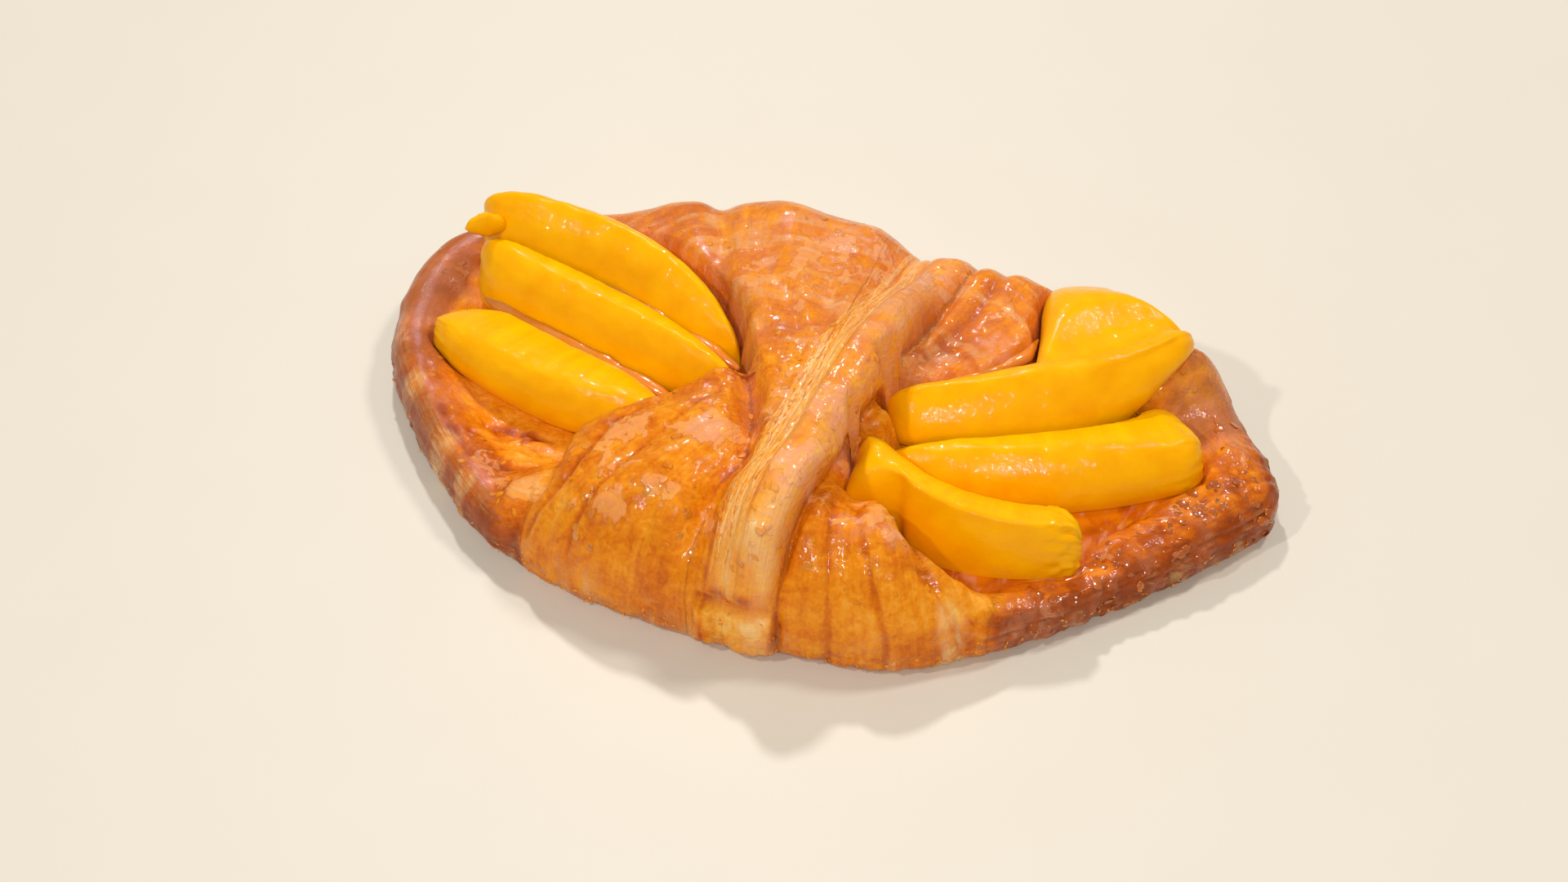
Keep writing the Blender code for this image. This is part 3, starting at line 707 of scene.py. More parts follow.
def sliver():
    # a thin torn tip beside the outer end of the left back slice
    wayX, wayY = sliverSizes["way"]
    way, side = np.array([wayX, wayY, 0.0]), np.array([wayY, -wayX, 0.0])
    root, up = np.array(sliverSizes["root"]), np.array([0.0, 0.0, 1.0])
    rows, columns = sliverSizes["rows"], sliverSizes["columns"]
    points, faces = [], []
    for k in range(rows + 1):
        t = k / rows
        thick = math.sin(math.pi * min(t * 0.9 + 0.1, 1.0)) ** 0.6 if 0 < k < rows else 0.02
        middle = root + way * sliverSizes["length"] * t + up * sliverSizes["rise"] * math.sin(2.4 * t)
        for j in range(columns):
            turn = 2 * math.pi * j / columns
            bumps = noise(np.array([t * 7.0]), np.array([turn * 1.1]), 66, 2)
            wobble = 1 + sliverSizes["wobble"] * float(bumps[0])
            around = (side * sliverSizes["halfWidth"] * math.cos(turn)
                      + up * sliverSizes["halfHeight"] * math.sin(turn))
            points.append(middle + thick * wobble * around)
    for k in range(rows):
        for j in range(columns):
            i = (j + 1) % columns
            faces.append((k * columns + j, k * columns + i, (k + 1) * columns + i, (k + 1) * columns + j))
    faces += [tuple(range(columns - 1, -1, -1)), tuple(range(rows * columns, (rows + 1) * columns))]
    points = np.array(points)
    mesh = newMesh("peach_sliver", points, faces)
    outward = ((points - points.mean(axis=0)) * vertexNormals(mesh)).sum()
    if outward < 0:
        mesh.flip_normals()
    addAttribute(mesh, "cut", np.full(len(points), 0.5))
    addFlowMap(mesh, points[:, 0], points[:, 1])
    piece = newObject("peach_sliver", mesh, peachFlesh)
    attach(piece, "root")


sliver()

print("building the pastry")

crust = {
    # where things fade in, from the first value to the second: places, heights and depths in
    # millimetres, and levels of a wave
    "fades": {
        "inPocket": (-0.6, 1.6), "lobe": (12, 17), "front": (2, -6), "ends": (42, 58),
        "rightRimHeight": (13.5, 10.5), "rightRimPlace": (20, 34),
        "leftRimHeight": (14, 11), "leftRimPlace": (-30, -46),
        "skinTorn": (0.25, 0.37), "skinFromEdge": (3, 6), "backLines": (-4, -1), "paleLines": (0.15, 0.6),
        "sideDepth": (3.2, 1.2), "sideFoot": (0.4, 1.6), "sideTop": (10.5, 8.0),
        "crumblyTop": (6.5, 3.0), "crumblyFoot": (0.0, 0.8), "crumblyPale": (0.0, 0.5),
        "footLeft": (-7.5, -6.2), "footRight": (7.2, 6.0), "footFront": (-34, -38),
        "footTop": (10.6, 9.4), "footBottom": (0.2, 1.5), "footPale": (3, 8), "footSpots": (-36, -40),
        "sideCrackTop": (11, 9), "lowOnRim": (9, 5), "groove": (-38, -28), "strandShadow": (-8, -16),
        "rollFront": (-10, -24), "rollPale": (-24, -34), "rollEnd": (-43, -40), "rightFront": (8, 16),
        "rightSide": (20, 34), "leftSide": (-50, -66), "paleBack": (-4, 0), "rimPink": (-0.1, 0.5),
        "mauveEnd": (-62, -69), "mauveBack": (-8, 0), "rimPlum": (0.05, 0.35), "wet": (-0.1, 0.5),
        "stripOuter": (0.6, 1.2), "stripInner": (5.0, 3.0), "stripPlace": (-42, -50),
        "stripBack": (14, 6), "stripTorn": (-0.5, 0.3), "clump": (-0.1, 0.5),
        "flakesFromKnob": (3.0, 6.0), "flakesFromEdge": (1.5, 3.5)},
    # the middle and the reach of the strands, the roll and the painted shade in the crease at the roll's
    # edge, as shares of the band's width, and of the painted shadow beside the strands, which drifts by a
    # share with each millimetre
    "strandPlace": (0.06, 0.2),
    "rollPlace": (0.68, 0.26),
    "rollCreaseShade": (1.0, 0.08),
    "shadowPlace": (-0.10, 0.035),
    "shadowDrift": 0.004,
    # how far the painted shade along a crease, and the browning of the flap's crest, reach, in millimetres
    "creaseShadeReach": {"leftGroove": 0.7, "rightBackFold": 1.2, "frontLeftFold": 1.4},
    "flapReach": 1.8,
    # waves of the relief and of the tones: size one way and the other in millimetres, seed, octaves
    "waves": {
        "tornLip": (2.3, 2.3, 3, 2), "streak": (0.75, 13, 11, 2), "broad": (2.4, 20, 12, 2),
        "skinWarp": (1.4, 1.4, 31, 1), "skin": (3.4, 4.4, 32, 4), "backLines": (1.7, 7, 13, 1),
        "frontLobe": (1.7, 1.7, 34, 2), "rightKnots": (2.1, 2.1, 14, 3), "rightLeaves": (9, 1.6, 36, 1),
        "rightLumps": (6, 6, 64, 2), "leftRim": (3.5, 3.5, 15, 2), "pocket": (6, 6, 16, 2),
        "outside": (9, 9, 17, 2), "footEdge": (2.5, 2.0, 62, 2), "footCrumb": (1.5, 1.2, 37, 2),
        "wrinkle": (2.5, 2.5, 35, 1), "cloud": (12, 12, 21, 3), "patch": (2.6, 2.6, 22, 3),
        "rimTone": (2.4, 1.0, 63, 2), "footSpot": (1, 1, 68, 1), "footTone": (1.6, 1.4, 67, 2),
        "crumblyTone": (4, 4, 39, 2), "strip": (3, 3, 40, 2), "paleLines": (1.5, 7, 13, 1),
        "crumblyPale": (3.5, 3.5, 41, 2), "rimPink": (2.4, 2.4, 26, 2), "rimPlum": (2.0, 0.909, 61, 3),
        "wet": (7, 7, 27, 2), "clump": (3.0, 3.0, 45, 2)},
    # how far each kind of relief stands out, in millimetres
    "rise": {
        "strands": 0.4, "skin": 0.12, "lobeBroad": 0.10, "lobeStreak": 0.05, "backLines": 0.08,
        "frontLobe": 0.2, "rightKnots": 0.75, "rightLeaves": 0.4, "rightLumps": 0.7, "leftRim": 0.22,
        "pocket": 0.25, "outside": 0.4, "foot": 1.1, "footCrumb": 1.3, "crack": -1.3, "crumbly": 0.45},
    # how much darker, or with a minus paler, each place is: mostly its baking, while the creases, wrinkles,
    # cracks, the roll's crease, the strip beside the strands, the left rim's lower part and in part the back
    # lobes are darker with painted shade
    "bake": {
        "base": 0.33, "cloud": 0.10, "patch": 0.09, "frontLobe": 0.06, "strandStreak": 0.12,
        "rightRim": 0.31, "rightPatch": 0.24, "lowRight": 0.12, "leftRim": 0.32, "lowLeft": 0.22,
        "backLobe": 0.12, "bareLobe": 0.07, "rightPocket": 0.26, "leftPocket": 0.04,
        "leftGroove": 0.22, "rightBackFold": 0.14, "frontLeftFold": 0.10, "rollCreaseShade": 0.14,
        "flapCrest": 0.10, "strandShadow": 0.16, "wrinkle": 0.36, "strands": -0.12, "foot": -0.2,
        "footSpot": 0.5, "crack": 0.26, "footTone": 0.12, "roll": -0.10, "rollFront": -0.08,
        "rightFront": -0.05, "side": 0.10, "leaves": -0.16, "rightSide": 0.22, "leftSide": 0.12,
        "crumbly": 0.10, "dark": 0.8, "pale": -0.20, "strip": 0.14},
    # how much of the cream, of the rose and of the plum shows, and how thick the glaze lies
    "creamShares": {"strands": 0.55, "strandStreak": 0.9, "spots": 0.8, "leaves": 0.6, "strip": 0.22,
                    "backLines": 0.35, "crumbly": 0.45, "roll": 0.55},
    "roseShares": {"skin": 0.35, "roll": 0.5, "backLobe": 0.22, "rightRim": 0.25, "flapCrest": 0.3},
    "plumShare": 0.15,
    "wetness": {"all": 0.35, "rightRim": 0.5, "pocket": 0.4, "frontLobe": 0.25, "cloud": 0.2,
                "strip": -0.3, "leftRim": -0.2},
    # dark spots above the band's foot: x, z
    "footSpots": [(-2.8, 13.0), (1.8, 12.6)],
    # places that are baked darker, or are paler, rosier or covered by skin: x, y, reach, share; the first
    # two dark places and the one at (-5, -24) are painted shade in the left crease and the left groove
    "dark": [(-52, -12.5, 3.2, 0.35), (-47, -12.5, 2.6, 0.4), (62, 24, 8, 0.14), (-37, 27, 9, 0.14),
             (-30, 32, 8, 0.1), (45, -32, 3.0, 0.2), (-5, -24, 2.0, 0.25), (-48, -34, 3, 0.18),
             (72, 2, 3, 0.2), (62, -12, 3, 0.15), (-41, -38, 4, 0.15)],
    "pale": [(2.5, -40.5, 3.6, 0.7), (5, -42, 2.6, 0.6), (35, -39.5, 3.6, 0.7), (-26.5, 31, 2.5, 0.5),
             (-22, 23, 2.0, 0.5), (-60, -21, 4.5, 0.6), (-70, -7, 3.5, 0.5), (-53, -27, 3.0, 0.5),
             (-27, -44, 4.0, 0.5), (18.5, 5, 4, 0.4), (-42, -29, 3.5, 0.5), (-1, -16, 3, 0.2)],
    "pink": [(-11, -22, 4.5, 0.8), (7.5, -17, 5, 0.8), (6.5, -31, 4, 0.8), (-74, 8, 8, 0.8),
             (-74, 20, 9, 0.8), (-37, 25, 7, 0.5), (66, 17, 9, 0.8), (-62, -8, 6, 0.4), (24, -34, 3.5, 0.7),
             (17, -34, 4, 0.5), (29, 15, 4, 0.7), (45, -13, 6, 0.5), (52, -12, 5, 0.4), (48, -33, 6, 0.4),
             (0, 38, 14, 0.5), (12, 26, 7, 0.4)],
    "mauve": [(-77, 12, 6, 0.8), (-72, 6, 5, 0.7), (-74, 19, 6, 0.7), (66, 18, 10, 0.85), (60, 27, 8, 0.8)],
    "skin": [(8, -18, 6, 0.7), (6.5, -31, 4.5, 0.6), (-11, -21, 6, 0.8), (-14, -33, 8, 0.3),
             (17, -33, 6, 0.5), (24, -35, 4, 0.5), (-4, 20, 14, 0.5), (45, -15, 6, 0.5),
             (50, -12, 4, 0.4), (10, 22, 8, 0.4)],
    # places where the set glaze stands in beads: x, y, reach, share
    "glints": [(-27, -38, 4, 0.9), (-18, -36, 3, 0.6), (-9, -40, 3.5, 0.7), (57, -18, 6, 0.7),
               (66, -5, 6, 0.8), (72, 4, 4, 0.7), (50, -28, 4, 0.6), (13, -42, 3, 0.5)],
    # x, y, reach, rise
    "bumps": [(54, 19, 6.0, 4.5), (59.5, 25, 5.5, 3.8), (66, 16, 6.0, -1.5), (-43, -29.5, 4.0, 1.6),
              (-40, 24, 5.0, 0.8), (-30, 26, 3.5, 0.6), (12, 20, 6.0, 0.5), (-12, -21, 4.0, 0.7),
              (20, -38, 4.0, 0.5), (58, -15, 4.0, 0.6), (48, -30, 4.0, 0.5)],
    # path, depth, width
    "wrinkles": [
        ([(-63, -12), (-61, -15), (-57, -19), (-52, -23), (-46, -22), (-41, -19), (-39, -15),
          (-33, -13)], 0.9, 0.8),
        ([(-55, -12), (-51, -12), (-48, -12), (-43, -12.5)], 0.6, 0.6),
        ([(-56, -16), (-51, -15), (-48, -12)], 0.6, 0.5),
        ([(-51, -18), (-48, -14), (-45, -12)], 0.5, 0.5),
        ([(-20, -15), (-27, -20), (-31, -27), (-33, -32), (-39, -37)], 0.6, 0.7),
        ([(-12, -13), (-20, -24), (-25, -33), (-30, -40)], 0.5, 0.7),
        ([(15, 0), (19, 8), (25, 17), (30, 25)], 0.25, 0.7),
        ([(15, 2), (18, 10), (22, 19), (25, 28)], 0.25, 0.6),
        ([(13, -30), (14, -38), (15, -44), (16, -47)], 0.5, 0.8),
        ([(16, -28), (19, -37), (23, -43), (26, -46)], 0.5, 0.7),
        ([(24, -31), (31, -37), (38, -38), (46, -33)], 0.6, 0.6),
        ([(29, -37), (36, -40), (46, -36), (55, -27), (64, -13)], 0.5, 0.7),
        ([(68, -3), (72, 1), (77, 7)], 0.6, 0.7),
        ([(-9, 7), (-5, 2), (0, 5)], 0.3, 0.5),
        ([(-8, 14), (-3, 10), (2, 13)], 0.3, 0.5)],
    # the crack above the block at the band's foot has a height and a reach, and the one at the
    # block's right has a place and a reach
    "footCrack": (11.2, 0.8),
    "sideCrack": (6.8, 0.6),
    # colours, from pale to dark with their tones first, and those laid over them
    "tones": [(0.02, (0.92, 0.56, 0.20)), (0.20, (0.88, 0.40, 0.05)), (0.38, (0.82, 0.27, 0.007)),
              (0.56, (0.66, 0.155, 0.003)), (0.74, (0.45, 0.08, 0.003)), (0.94, (0.29, 0.045, 0.003))],
    "skinEdge": (0.62, 0.12, 0.006, 1.0),
    "skinColours": ((0.80, 0.30, 0.06, 1.0), (0.93, 0.47, 0.18, 1.0)),
    "cream": (0.92, 0.58, 0.24, 1.0),
    "rose": (0.80, 0.33, 0.17, 1.0),
    "plum": (0.37, 0.10, 0.03, 1.0),
    # how fine each pattern of the material is, in bumps for each metre, and the two that follow the
    # folds across them, then along them; and how far each one sways the tone and the skin's edge
    "patterns": {"cloud": 150, "patch": 480, "speck": 1500, "waves": 560, "ripples": 1400, "lumps": 760,
                 "dull": 4800},
    "foldPatterns": {"thread": (1300, 60, 1), "feather": (520, 130, 1)},
    "toneSway": {"thread": 0.9, "patch": 0.46, "cloud": 0.34, "speck": 0.22},
    "edgeSway": {"feather": 1.3, "patch": 0.9, "cloud": 0.5}}


def wave(name, u, v):
    # one of the crust's waves at two coordinates in millimetres
    one, other, seed, octaves = crust["waves"][name]
    return noise(u / one, v / other, seed, octaves)


def fade(name, value):
    return smoothStep(*crust["fades"][name], value)


def spotMask(x, y, spots, seed):
    warp = 0.35 * noise(x / 2.2, y / 2.2, seed, 2)
    total = np.zeros(x.shape)
    for sx, sy, reach, share in spots:
        total = np.maximum(total, share * smoothStep(1.0, 0.35, np.hypot(x - sx, y - sy) / reach + warp))
    return total


def insideBox(points):
    # eases what stands proud back into the solid's own box
    shift = np.array((*pastry["origin"], 0.0))
    low, high = (np.array(corner) / mm + shift for corner in cadBox)
    middle, half = (low + high) / 2, (high - low) / 2
    give = np.array(pastry["boxGive"])
    out = np.abs(points - middle) - (half - give)
    out[:, 2] = np.where(points[:, 2] > middle[2], out[:, 2], 0.0)
    eased = half - give + give * np.tanh(np.maximum(out, 0) / give)
    points = np.where(out > 0, middle + np.sign(points - middle) * eased, points)
    points[:, 2] = np.maximum(points[:, 2], 0.0)
    return points


def seatSlices(points, quads):
    # the dough stays below a slice wherever it would come nearer to it than the gap
    limit = np.full(len(points), np.inf)
    above = pastry["footClear"]
    for body, sides in sliceBodies:
        grown = body + 0.5 * peach["gap"] * bodyNormals(body, sides)
        tree, low, high = treeOf(grown, sides), grown[:, :2].min(axis=0), grown[:, :2].max(axis=0)
        near = np.all((points[:, :2] > low) & (points[:, :2] < high), axis=1) & (points[:, 2] > above)
        for i in np.flatnonzero(near):
            hit = tree.ray_cast(Vector((points[i, 0], points[i, 1], -5.0)), Vector((0, 0, 1)))
            if hit[0] is not None:
                limit[i] = min(limit[i], hit[0].z)
    soft = limit < points[:, 2]
    points[:, 2] = np.minimum(points[:, 2], limit)
    # the edge of each seat is rounded off
    pairs = np.concatenate([quads[:, [k, (k + 1) % 4]] for k in range(4)])
    pairs = np.concatenate([pairs, pairs[:, ::-1]])
    count = np.maximum(np.bincount(pairs[:, 0], minlength=len(points)), 1)
    for _ in range(pastry["seatRings"]):
        soft = soft | (np.bincount(pairs[:, 0], soft[pairs[:, 1]], minlength=len(points)) > 0)
    soft &= points[:, 2] > above
    for _ in range(pastry["seatRounds"]):
        around = np.bincount(pairs[:, 0], points[pairs[:, 1], 2], minlength=len(points)) / count
        points[soft, 2] = np.minimum(0.4 * points[soft, 2] + 0.6 * around[soft], limit[soft])
    return points


def tornSkin(x, y, edge):
    # a thin baked skin lies over the softer dough and ends in torn edges
    warp = 0.6 * wave("skinWarp", x, y)
    across, along, seed, octaves = crust["waves"]["skin"]
    torn = noise(x / across + warp, y / along, seed, octaves) + 0.9 * spotMask(x, y, crust["skin"], 33)
    return fade("skinTorn", torn) * fade("skinFromEdge", edge)


def crustZones(x, y, z, edge, dough, pockets):
    # what kind of crust lies where, each kind from 0 to 1, and the waves that run with the folds
    across, along, onBand = foldFlow(x, y, edge, dough, z)
    inPocket = fade("inPocket", np.maximum(*pockets))
    lobe = fade("lobe", dough) * (1 - inPocket)
    front = fade("front", y)
    rightRim = fade("rightRimHeight", dough) * fade("rightRimPlace", x)
    leftRim = fade("leftRimHeight", dough) * fade("leftRimPlace", x)
    u = bandShare(x, y)
    middle, reach = crust["strandPlace"]
    bandStreak = bell(u - middle, reach) * onBand
    skin = tornSkin(x, y, edge) * (1 - bandStreak) * (1 - inPocket) * (0.62 + 0.38 * front)
    side = fade("sideDepth", edge) * fade("sideFoot", z) * fade("sideTop", z)
    return dict(x=x, y=y, z=z, edge=edge, across=across, along=along, onBand=onBand, inPocket=inPocket,
                lobe=lobe, front=front, rightRim=rightRim * (1 - inPocket), leftRim=leftRim * (1 - inPocket),
                u=u, bandStreak=bandStreak, skin=skin, side=side,
                ends=fade("ends", np.abs(x)), crumbly=fade("crumblyTop", z) * fade("crumblyFoot", z),
                streak=wave("streak", across, along), broad=wave("broad", across, along))


def footZones(m):
    # the band's torn foot: a crumbly block with a crack above it and one at its right
    x, y, z = m["x"], m["y"], m["z"]
    wobble = 0.8 * wave("footEdge", x, z)
    front = fade("footFront", y)
    atFoot = fade("footLeft", x + wobble) * fade("footRight", x + wobble) * front
    block = atFoot * fade("footTop", z + wobble) * fade("footBottom", z)
    height, reach = crust["footCrack"]
    crack = atFoot * bell(z + wobble - height, reach)
    place, reach = crust["sideCrack"]
    crack += 0.5 * bell(x - place + wobble, reach) * fade("sideCrackTop", z) * front
    return block, crack


def fineRelief(m):
    # millimetres that the crust stands out besides its folds
    x, y, z, across, along = (m[name] for name in ("x", "y", "z", "across", "along"))
    rise = crust["rise"]
    fine = rise["strands"] * m["bandStreak"] * m["streak"] + rise["skin"] * m["skin"]
    fine += m["lobe"] * (rise["lobeBroad"] * m["broad"] + rise["lobeStreak"] * m["streak"])
    fine += m["lobe"] * rise["backLines"] * wave("backLines", along, across) * fade("backLines", y)
    fine += m["lobe"] * m["front"] * rise["frontLobe"] * wave("frontLobe", x, y)
    fine += m["rightRim"] * rise["rightKnots"] * wave("rightKnots", x + 0.4 * z, y - 0.9 * z)
    fine += m["rightRim"] * rise["rightLeaves"] * wave("rightLeaves", along, across)
    fine += m["rightRim"] * rise["rightLumps"] * wave("rightLumps", x, y)
    fine += m["leftRim"] * rise["leftRim"] * wave("leftRim", x, y)
    fine += m["inPocket"] * rise["pocket"] * wave("pocket", x, y)
    fine += (1 - m["inPocket"]) * rise["outside"] * wave("outside", x, y)
    fine += m["foot"] * (rise["foot"] + rise["footCrumb"] * wave("footCrumb", x, z))
    fine += rise["crack"] * m["crack"]
    for bx, by, reach, lift in crust["bumps"]:
        fine += lift * bell(np.hypot(x - bx, y - by), reach)
    for path, depth, width in crust["wrinkles"]:
        fine -= depth * bell(pathDistance(x, y, path) + 0.5 * wave("wrinkle", x, y), width)
    return fine


def sideLeaves(m):
    # from 1 on a leaf of dough that shows along the side wall to -1 between two of them
    turn = np.arctan2(m["y"], m["x"])
    leaf = (m["z"] + 0.8 * noise(turn * 9, m["z"] / 4, 18, 2)) / pastry["layerPitch"]
    return (np.abs((leaf % 1.0) - 0.5) * 2 - 0.5) * (0.5 + 0.5 * noise(turn * 14, leaf // 1.0, 19))


def wallRelief(m):
    # the leaves are most marked at the two ends, and the wall is crumbly near its foot
    turn = np.arctan2(m["y"], m["x"])
    marked = m["side"] * (0.35 + 0.65 * m["ends"] + 0.5 * m["rightRim"])
    return (marked * pastry["layerDepth"] * 2 * m["leaves"]
            + m["crumbly"] * crust["rise"]["crumbly"] * noise(turn * 26, m["z"] / 1.4, 38, 2))


def pastryShape():
    points, quads, fan = pastryGrid()
    x, y = points[:, 0], points[:, 1]
    edge = pathDistance(x, y, outlineLoop, closed=True)
    torn = pastry["tornLip"] * wave("tornLip", x, y)
    pockets = [depthInside(x, y, loop) + torn for loop in pocketLoops]
    dough = slopedDough(x, y, pockets[1])
    top = np.isnan(points[:, 2])
    points[top, 2] = topHeight(dough, x, y, edge, pockets)[top]
    z = points[:, 2].copy()
    mesh = newMesh("plain", points, quads)
    normals = vertexNormals(mesh)
    bpy.data.meshes.remove(mesh)
    m = crustZones(x, y, z, edge, dough, pockets)
    m["foot"], m["crack"] = footZones(m)
    m["leaves"] = sideLeaves(m)
    onTop = smoothStep(0.0, pastry["edgeHeight"], z)
    raised = onTop * (foldRelief(x, y, dough, edge, pockets) + fineRelief(m)) + wallRelief(m)
    points = points + normals * raised[:, None]
    return seatSlices(insideBox(points), quads), quads, fan, m


def bakeTone(m, roll, flap, strip):
    # how dark each place is: mostly its baking, with painted shade in creases, wrinkles and cracks, beside
    # the strands, low on the left rim and in part on the back lobes
    x, y, z = m["x"], m["y"], m["z"]
    by = crust["bake"]
    low = fade("lowOnRim", z)
    crease = {name: bell(pathDistance(x, y, pastry["creases"][name][0]), reach)
              for name, reach in crust["creaseShadeReach"].items()}
    bake = by["base"] + by["cloud"] * wave("cloud", x, y) + by["patch"] * wave("patch", x, y)
    bake += by["frontLobe"] * m["front"] * m["lobe"] + by["strandStreak"] * m["streak"] * m["bandStreak"]
    rimTone = wave("rimTone", x + 0.4 * y, z + 0.45 * y)
    bake += (by["rightRim"] + by["rightPatch"] * rimTone + by["lowRight"] * low) * m["rightRim"]
    # the left rim is darker, and low down it is darker still with painted shade
    bake += (by["leftRim"] + by["lowLeft"] * low) * m["leftRim"]
    # the back lobes are darker, partly with their baking and partly with painted shade
    bake += m["lobe"] * (by["backLobe"] * (1 - m["front"]) + by["bareLobe"] * (1 - m["skin"]))
    bake += m["inPocket"] * np.where(x > 0, by["rightPocket"], by["leftPocket"])
    # painted shade along the left groove and the two folds
    bake += by["leftGroove"] * crease["leftGroove"] * fade("groove", y) * (1 - m["inPocket"])
    bake += by["rightBackFold"] * crease["rightBackFold"] + by["frontLeftFold"] * crease["frontLeftFold"]
    # painted shade in the crease along the roll's right edge
    middle, reach = crust["rollCreaseShade"]
    bake += by["rollCreaseShade"] * bell(m["u"] - middle, reach) + by["flapCrest"] * flap
    # painted shadow on the strip of lobe beside the strands
    middle, reach = crust["shadowPlace"]
    besideStrands = bell(m["u"] - middle - crust["shadowDrift"] * y, reach) * fade("strandShadow", y)
    bake += by["strandShadow"] * besideStrands * m["lobe"]
    # painted shade in the wrinkles, darker the deeper they are
    for path, depth, width in crust["wrinkles"]:
        near = pathDistance(x, y, path) + 0.5 * wave("wrinkle", x, y)
        bake += by["wrinkle"] * depth * bell(near, 0.6 * width)
    bake += by["strands"] * m["bandStreak"] + by["foot"] * m["foot"] * fade("footPale", z)
    for sx, sz in crust["footSpots"]:
        near = np.hypot((x - sx) / 1.3, (z - sz) / 0.8) + 0.3 * wave("footSpot", x, z)
        bake += by["footSpot"] * bell(near, 1.0) * fade("footSpots", y)
    # painted shade: the cracks at the band's foot are darkened, besides their own relief
    bake += by["crack"] * m["crack"] + by["footTone"] * m["foot"] * wave("footTone", x, z)
    bake += (by["roll"] + by["rollFront"] * fade("rollFront", y)) * roll
    bake += by["rightFront"] * m["lobe"] * m["front"] * fade("rightFront", x)
    bake += m["side"] * (by["side"] + by["leaves"] * m["leaves"]) * (0.3 + 0.7 * m["ends"])
    bake += m["side"] * (by["rightSide"] * fade("rightSide", x) + by["leftSide"] * fade("leftSide", x))
    bake += by["crumbly"] * m["crumbly"] * wave("crumblyTone", x, y) + by["strip"] * strip
    bake += by["dark"] * spotMask(x, y, crust["dark"], 23)
    return bake + by["pale"] * spotMask(x, y, crust["pale"], 24)


def paleTone(m, roll, strip):
    # where cream shows: on strands, on torn leaves, and low on the roll
    x, y = m["x"], m["y"]
    by = crust["creamShares"]
    pale = np.clip(m["bandStreak"] * (by["strands"] + by["strandStreak"] * m["streak"]), 0, 1)
    pale += by["spots"] * spotMask(x, y, crust["pale"], 24)
    pale += by["leaves"] * m["side"] * np.clip(m["leaves"], 0, 1) + by["strip"] * strip
    pale = pale * (1 - m["foot"])
    lines = fade("paleLines", wave("paleLines", m["along"], m["across"]))
    pale += by["backLines"] * lines * m["lobe"] * fade("paleBack", y)
    pale += by["crumbly"] * m["crumbly"] * fade("crumblyPale", wave("crumblyPale", x, y))
    return pale + by["roll"] * roll * fade("rollPale", y) * fade("rollEnd", y) * (1 - m["foot"])


def pinkTone(m, roll, flap):
    x, y = m["x"], m["y"]
    by = crust["roseShares"]
    pink = spotMask(x, y, crust["pink"], 25) + by["skin"] * m["skin"] * m["lobe"] + by["roll"] * roll
    # the back lobes are rosier, partly with the crust's own rose and partly with a painted sheen of the
    # glaze
    pink += by["backLobe"] * m["lobe"] * (1 - m["front"]) + by["flapCrest"] * flap
    # the rose patches on the right rim are painted highlights of its glaze
    return pink + by["rightRim"] * m["rightRim"] * fade("rimPink", wave("rimPink", x, y))


def mauveTone(m, strip):
    x, y, z = m["x"], m["y"], m["z"]
    mauve = m["leftRim"] * fade("mauveEnd", x) * fade("mauveBack", y)
    mauve = (mauve + spotMask(x, y, crust["mauve"], 28)) * (1 - strip)
    plum = fade("rimPlum", wave("rimPlum", x + 0.4 * y, z + 0.45 * y))
    return mauve + crust["plumShare"] * m["rightRim"] * plum


def wetTone(m, strip):
    # where the glaze lies thick
    by = crust["wetness"]
    wet = by["all"] + by["rightRim"] * m["rightRim"] + by["pocket"] * m["inPocket"]
    wet += by["frontLobe"] * m["front"] * m["lobe"] + by["cloud"] * fade("wet", wave("wet", m["x"], m["y"]))
    return wet + by["strip"] * strip + by["leftRim"] * m["leftRim"]


def crustMasks(m):
    x, y = m["x"], m["y"]
    flap = bell(pathDistance(x, y, pastry["flapCrest"]), crust["flapReach"]) * (1 - m["inPocket"])
    middle, reach = crust["rollPlace"]
    roll = bell(m["u"] - middle, reach) * m["onBand"]
    # a strip of pale torn leaves runs below the left rim's skin
    strip = (fade("stripOuter", m["edge"]) * fade("stripInner", m["edge"]) * fade("stripPlace", x)
             * fade("stripBack", y) * fade("stripTorn", wave("strip", x, y) + 0.3))
    return dict(bake=bakeTone(m, roll, flap, strip), pale=paleTone(m, roll, strip),
                pink=pinkTone(m, roll, flap), mauve=mauveTone(m, strip), wet=wetTone(m, strip),
                skin=m["skin"])


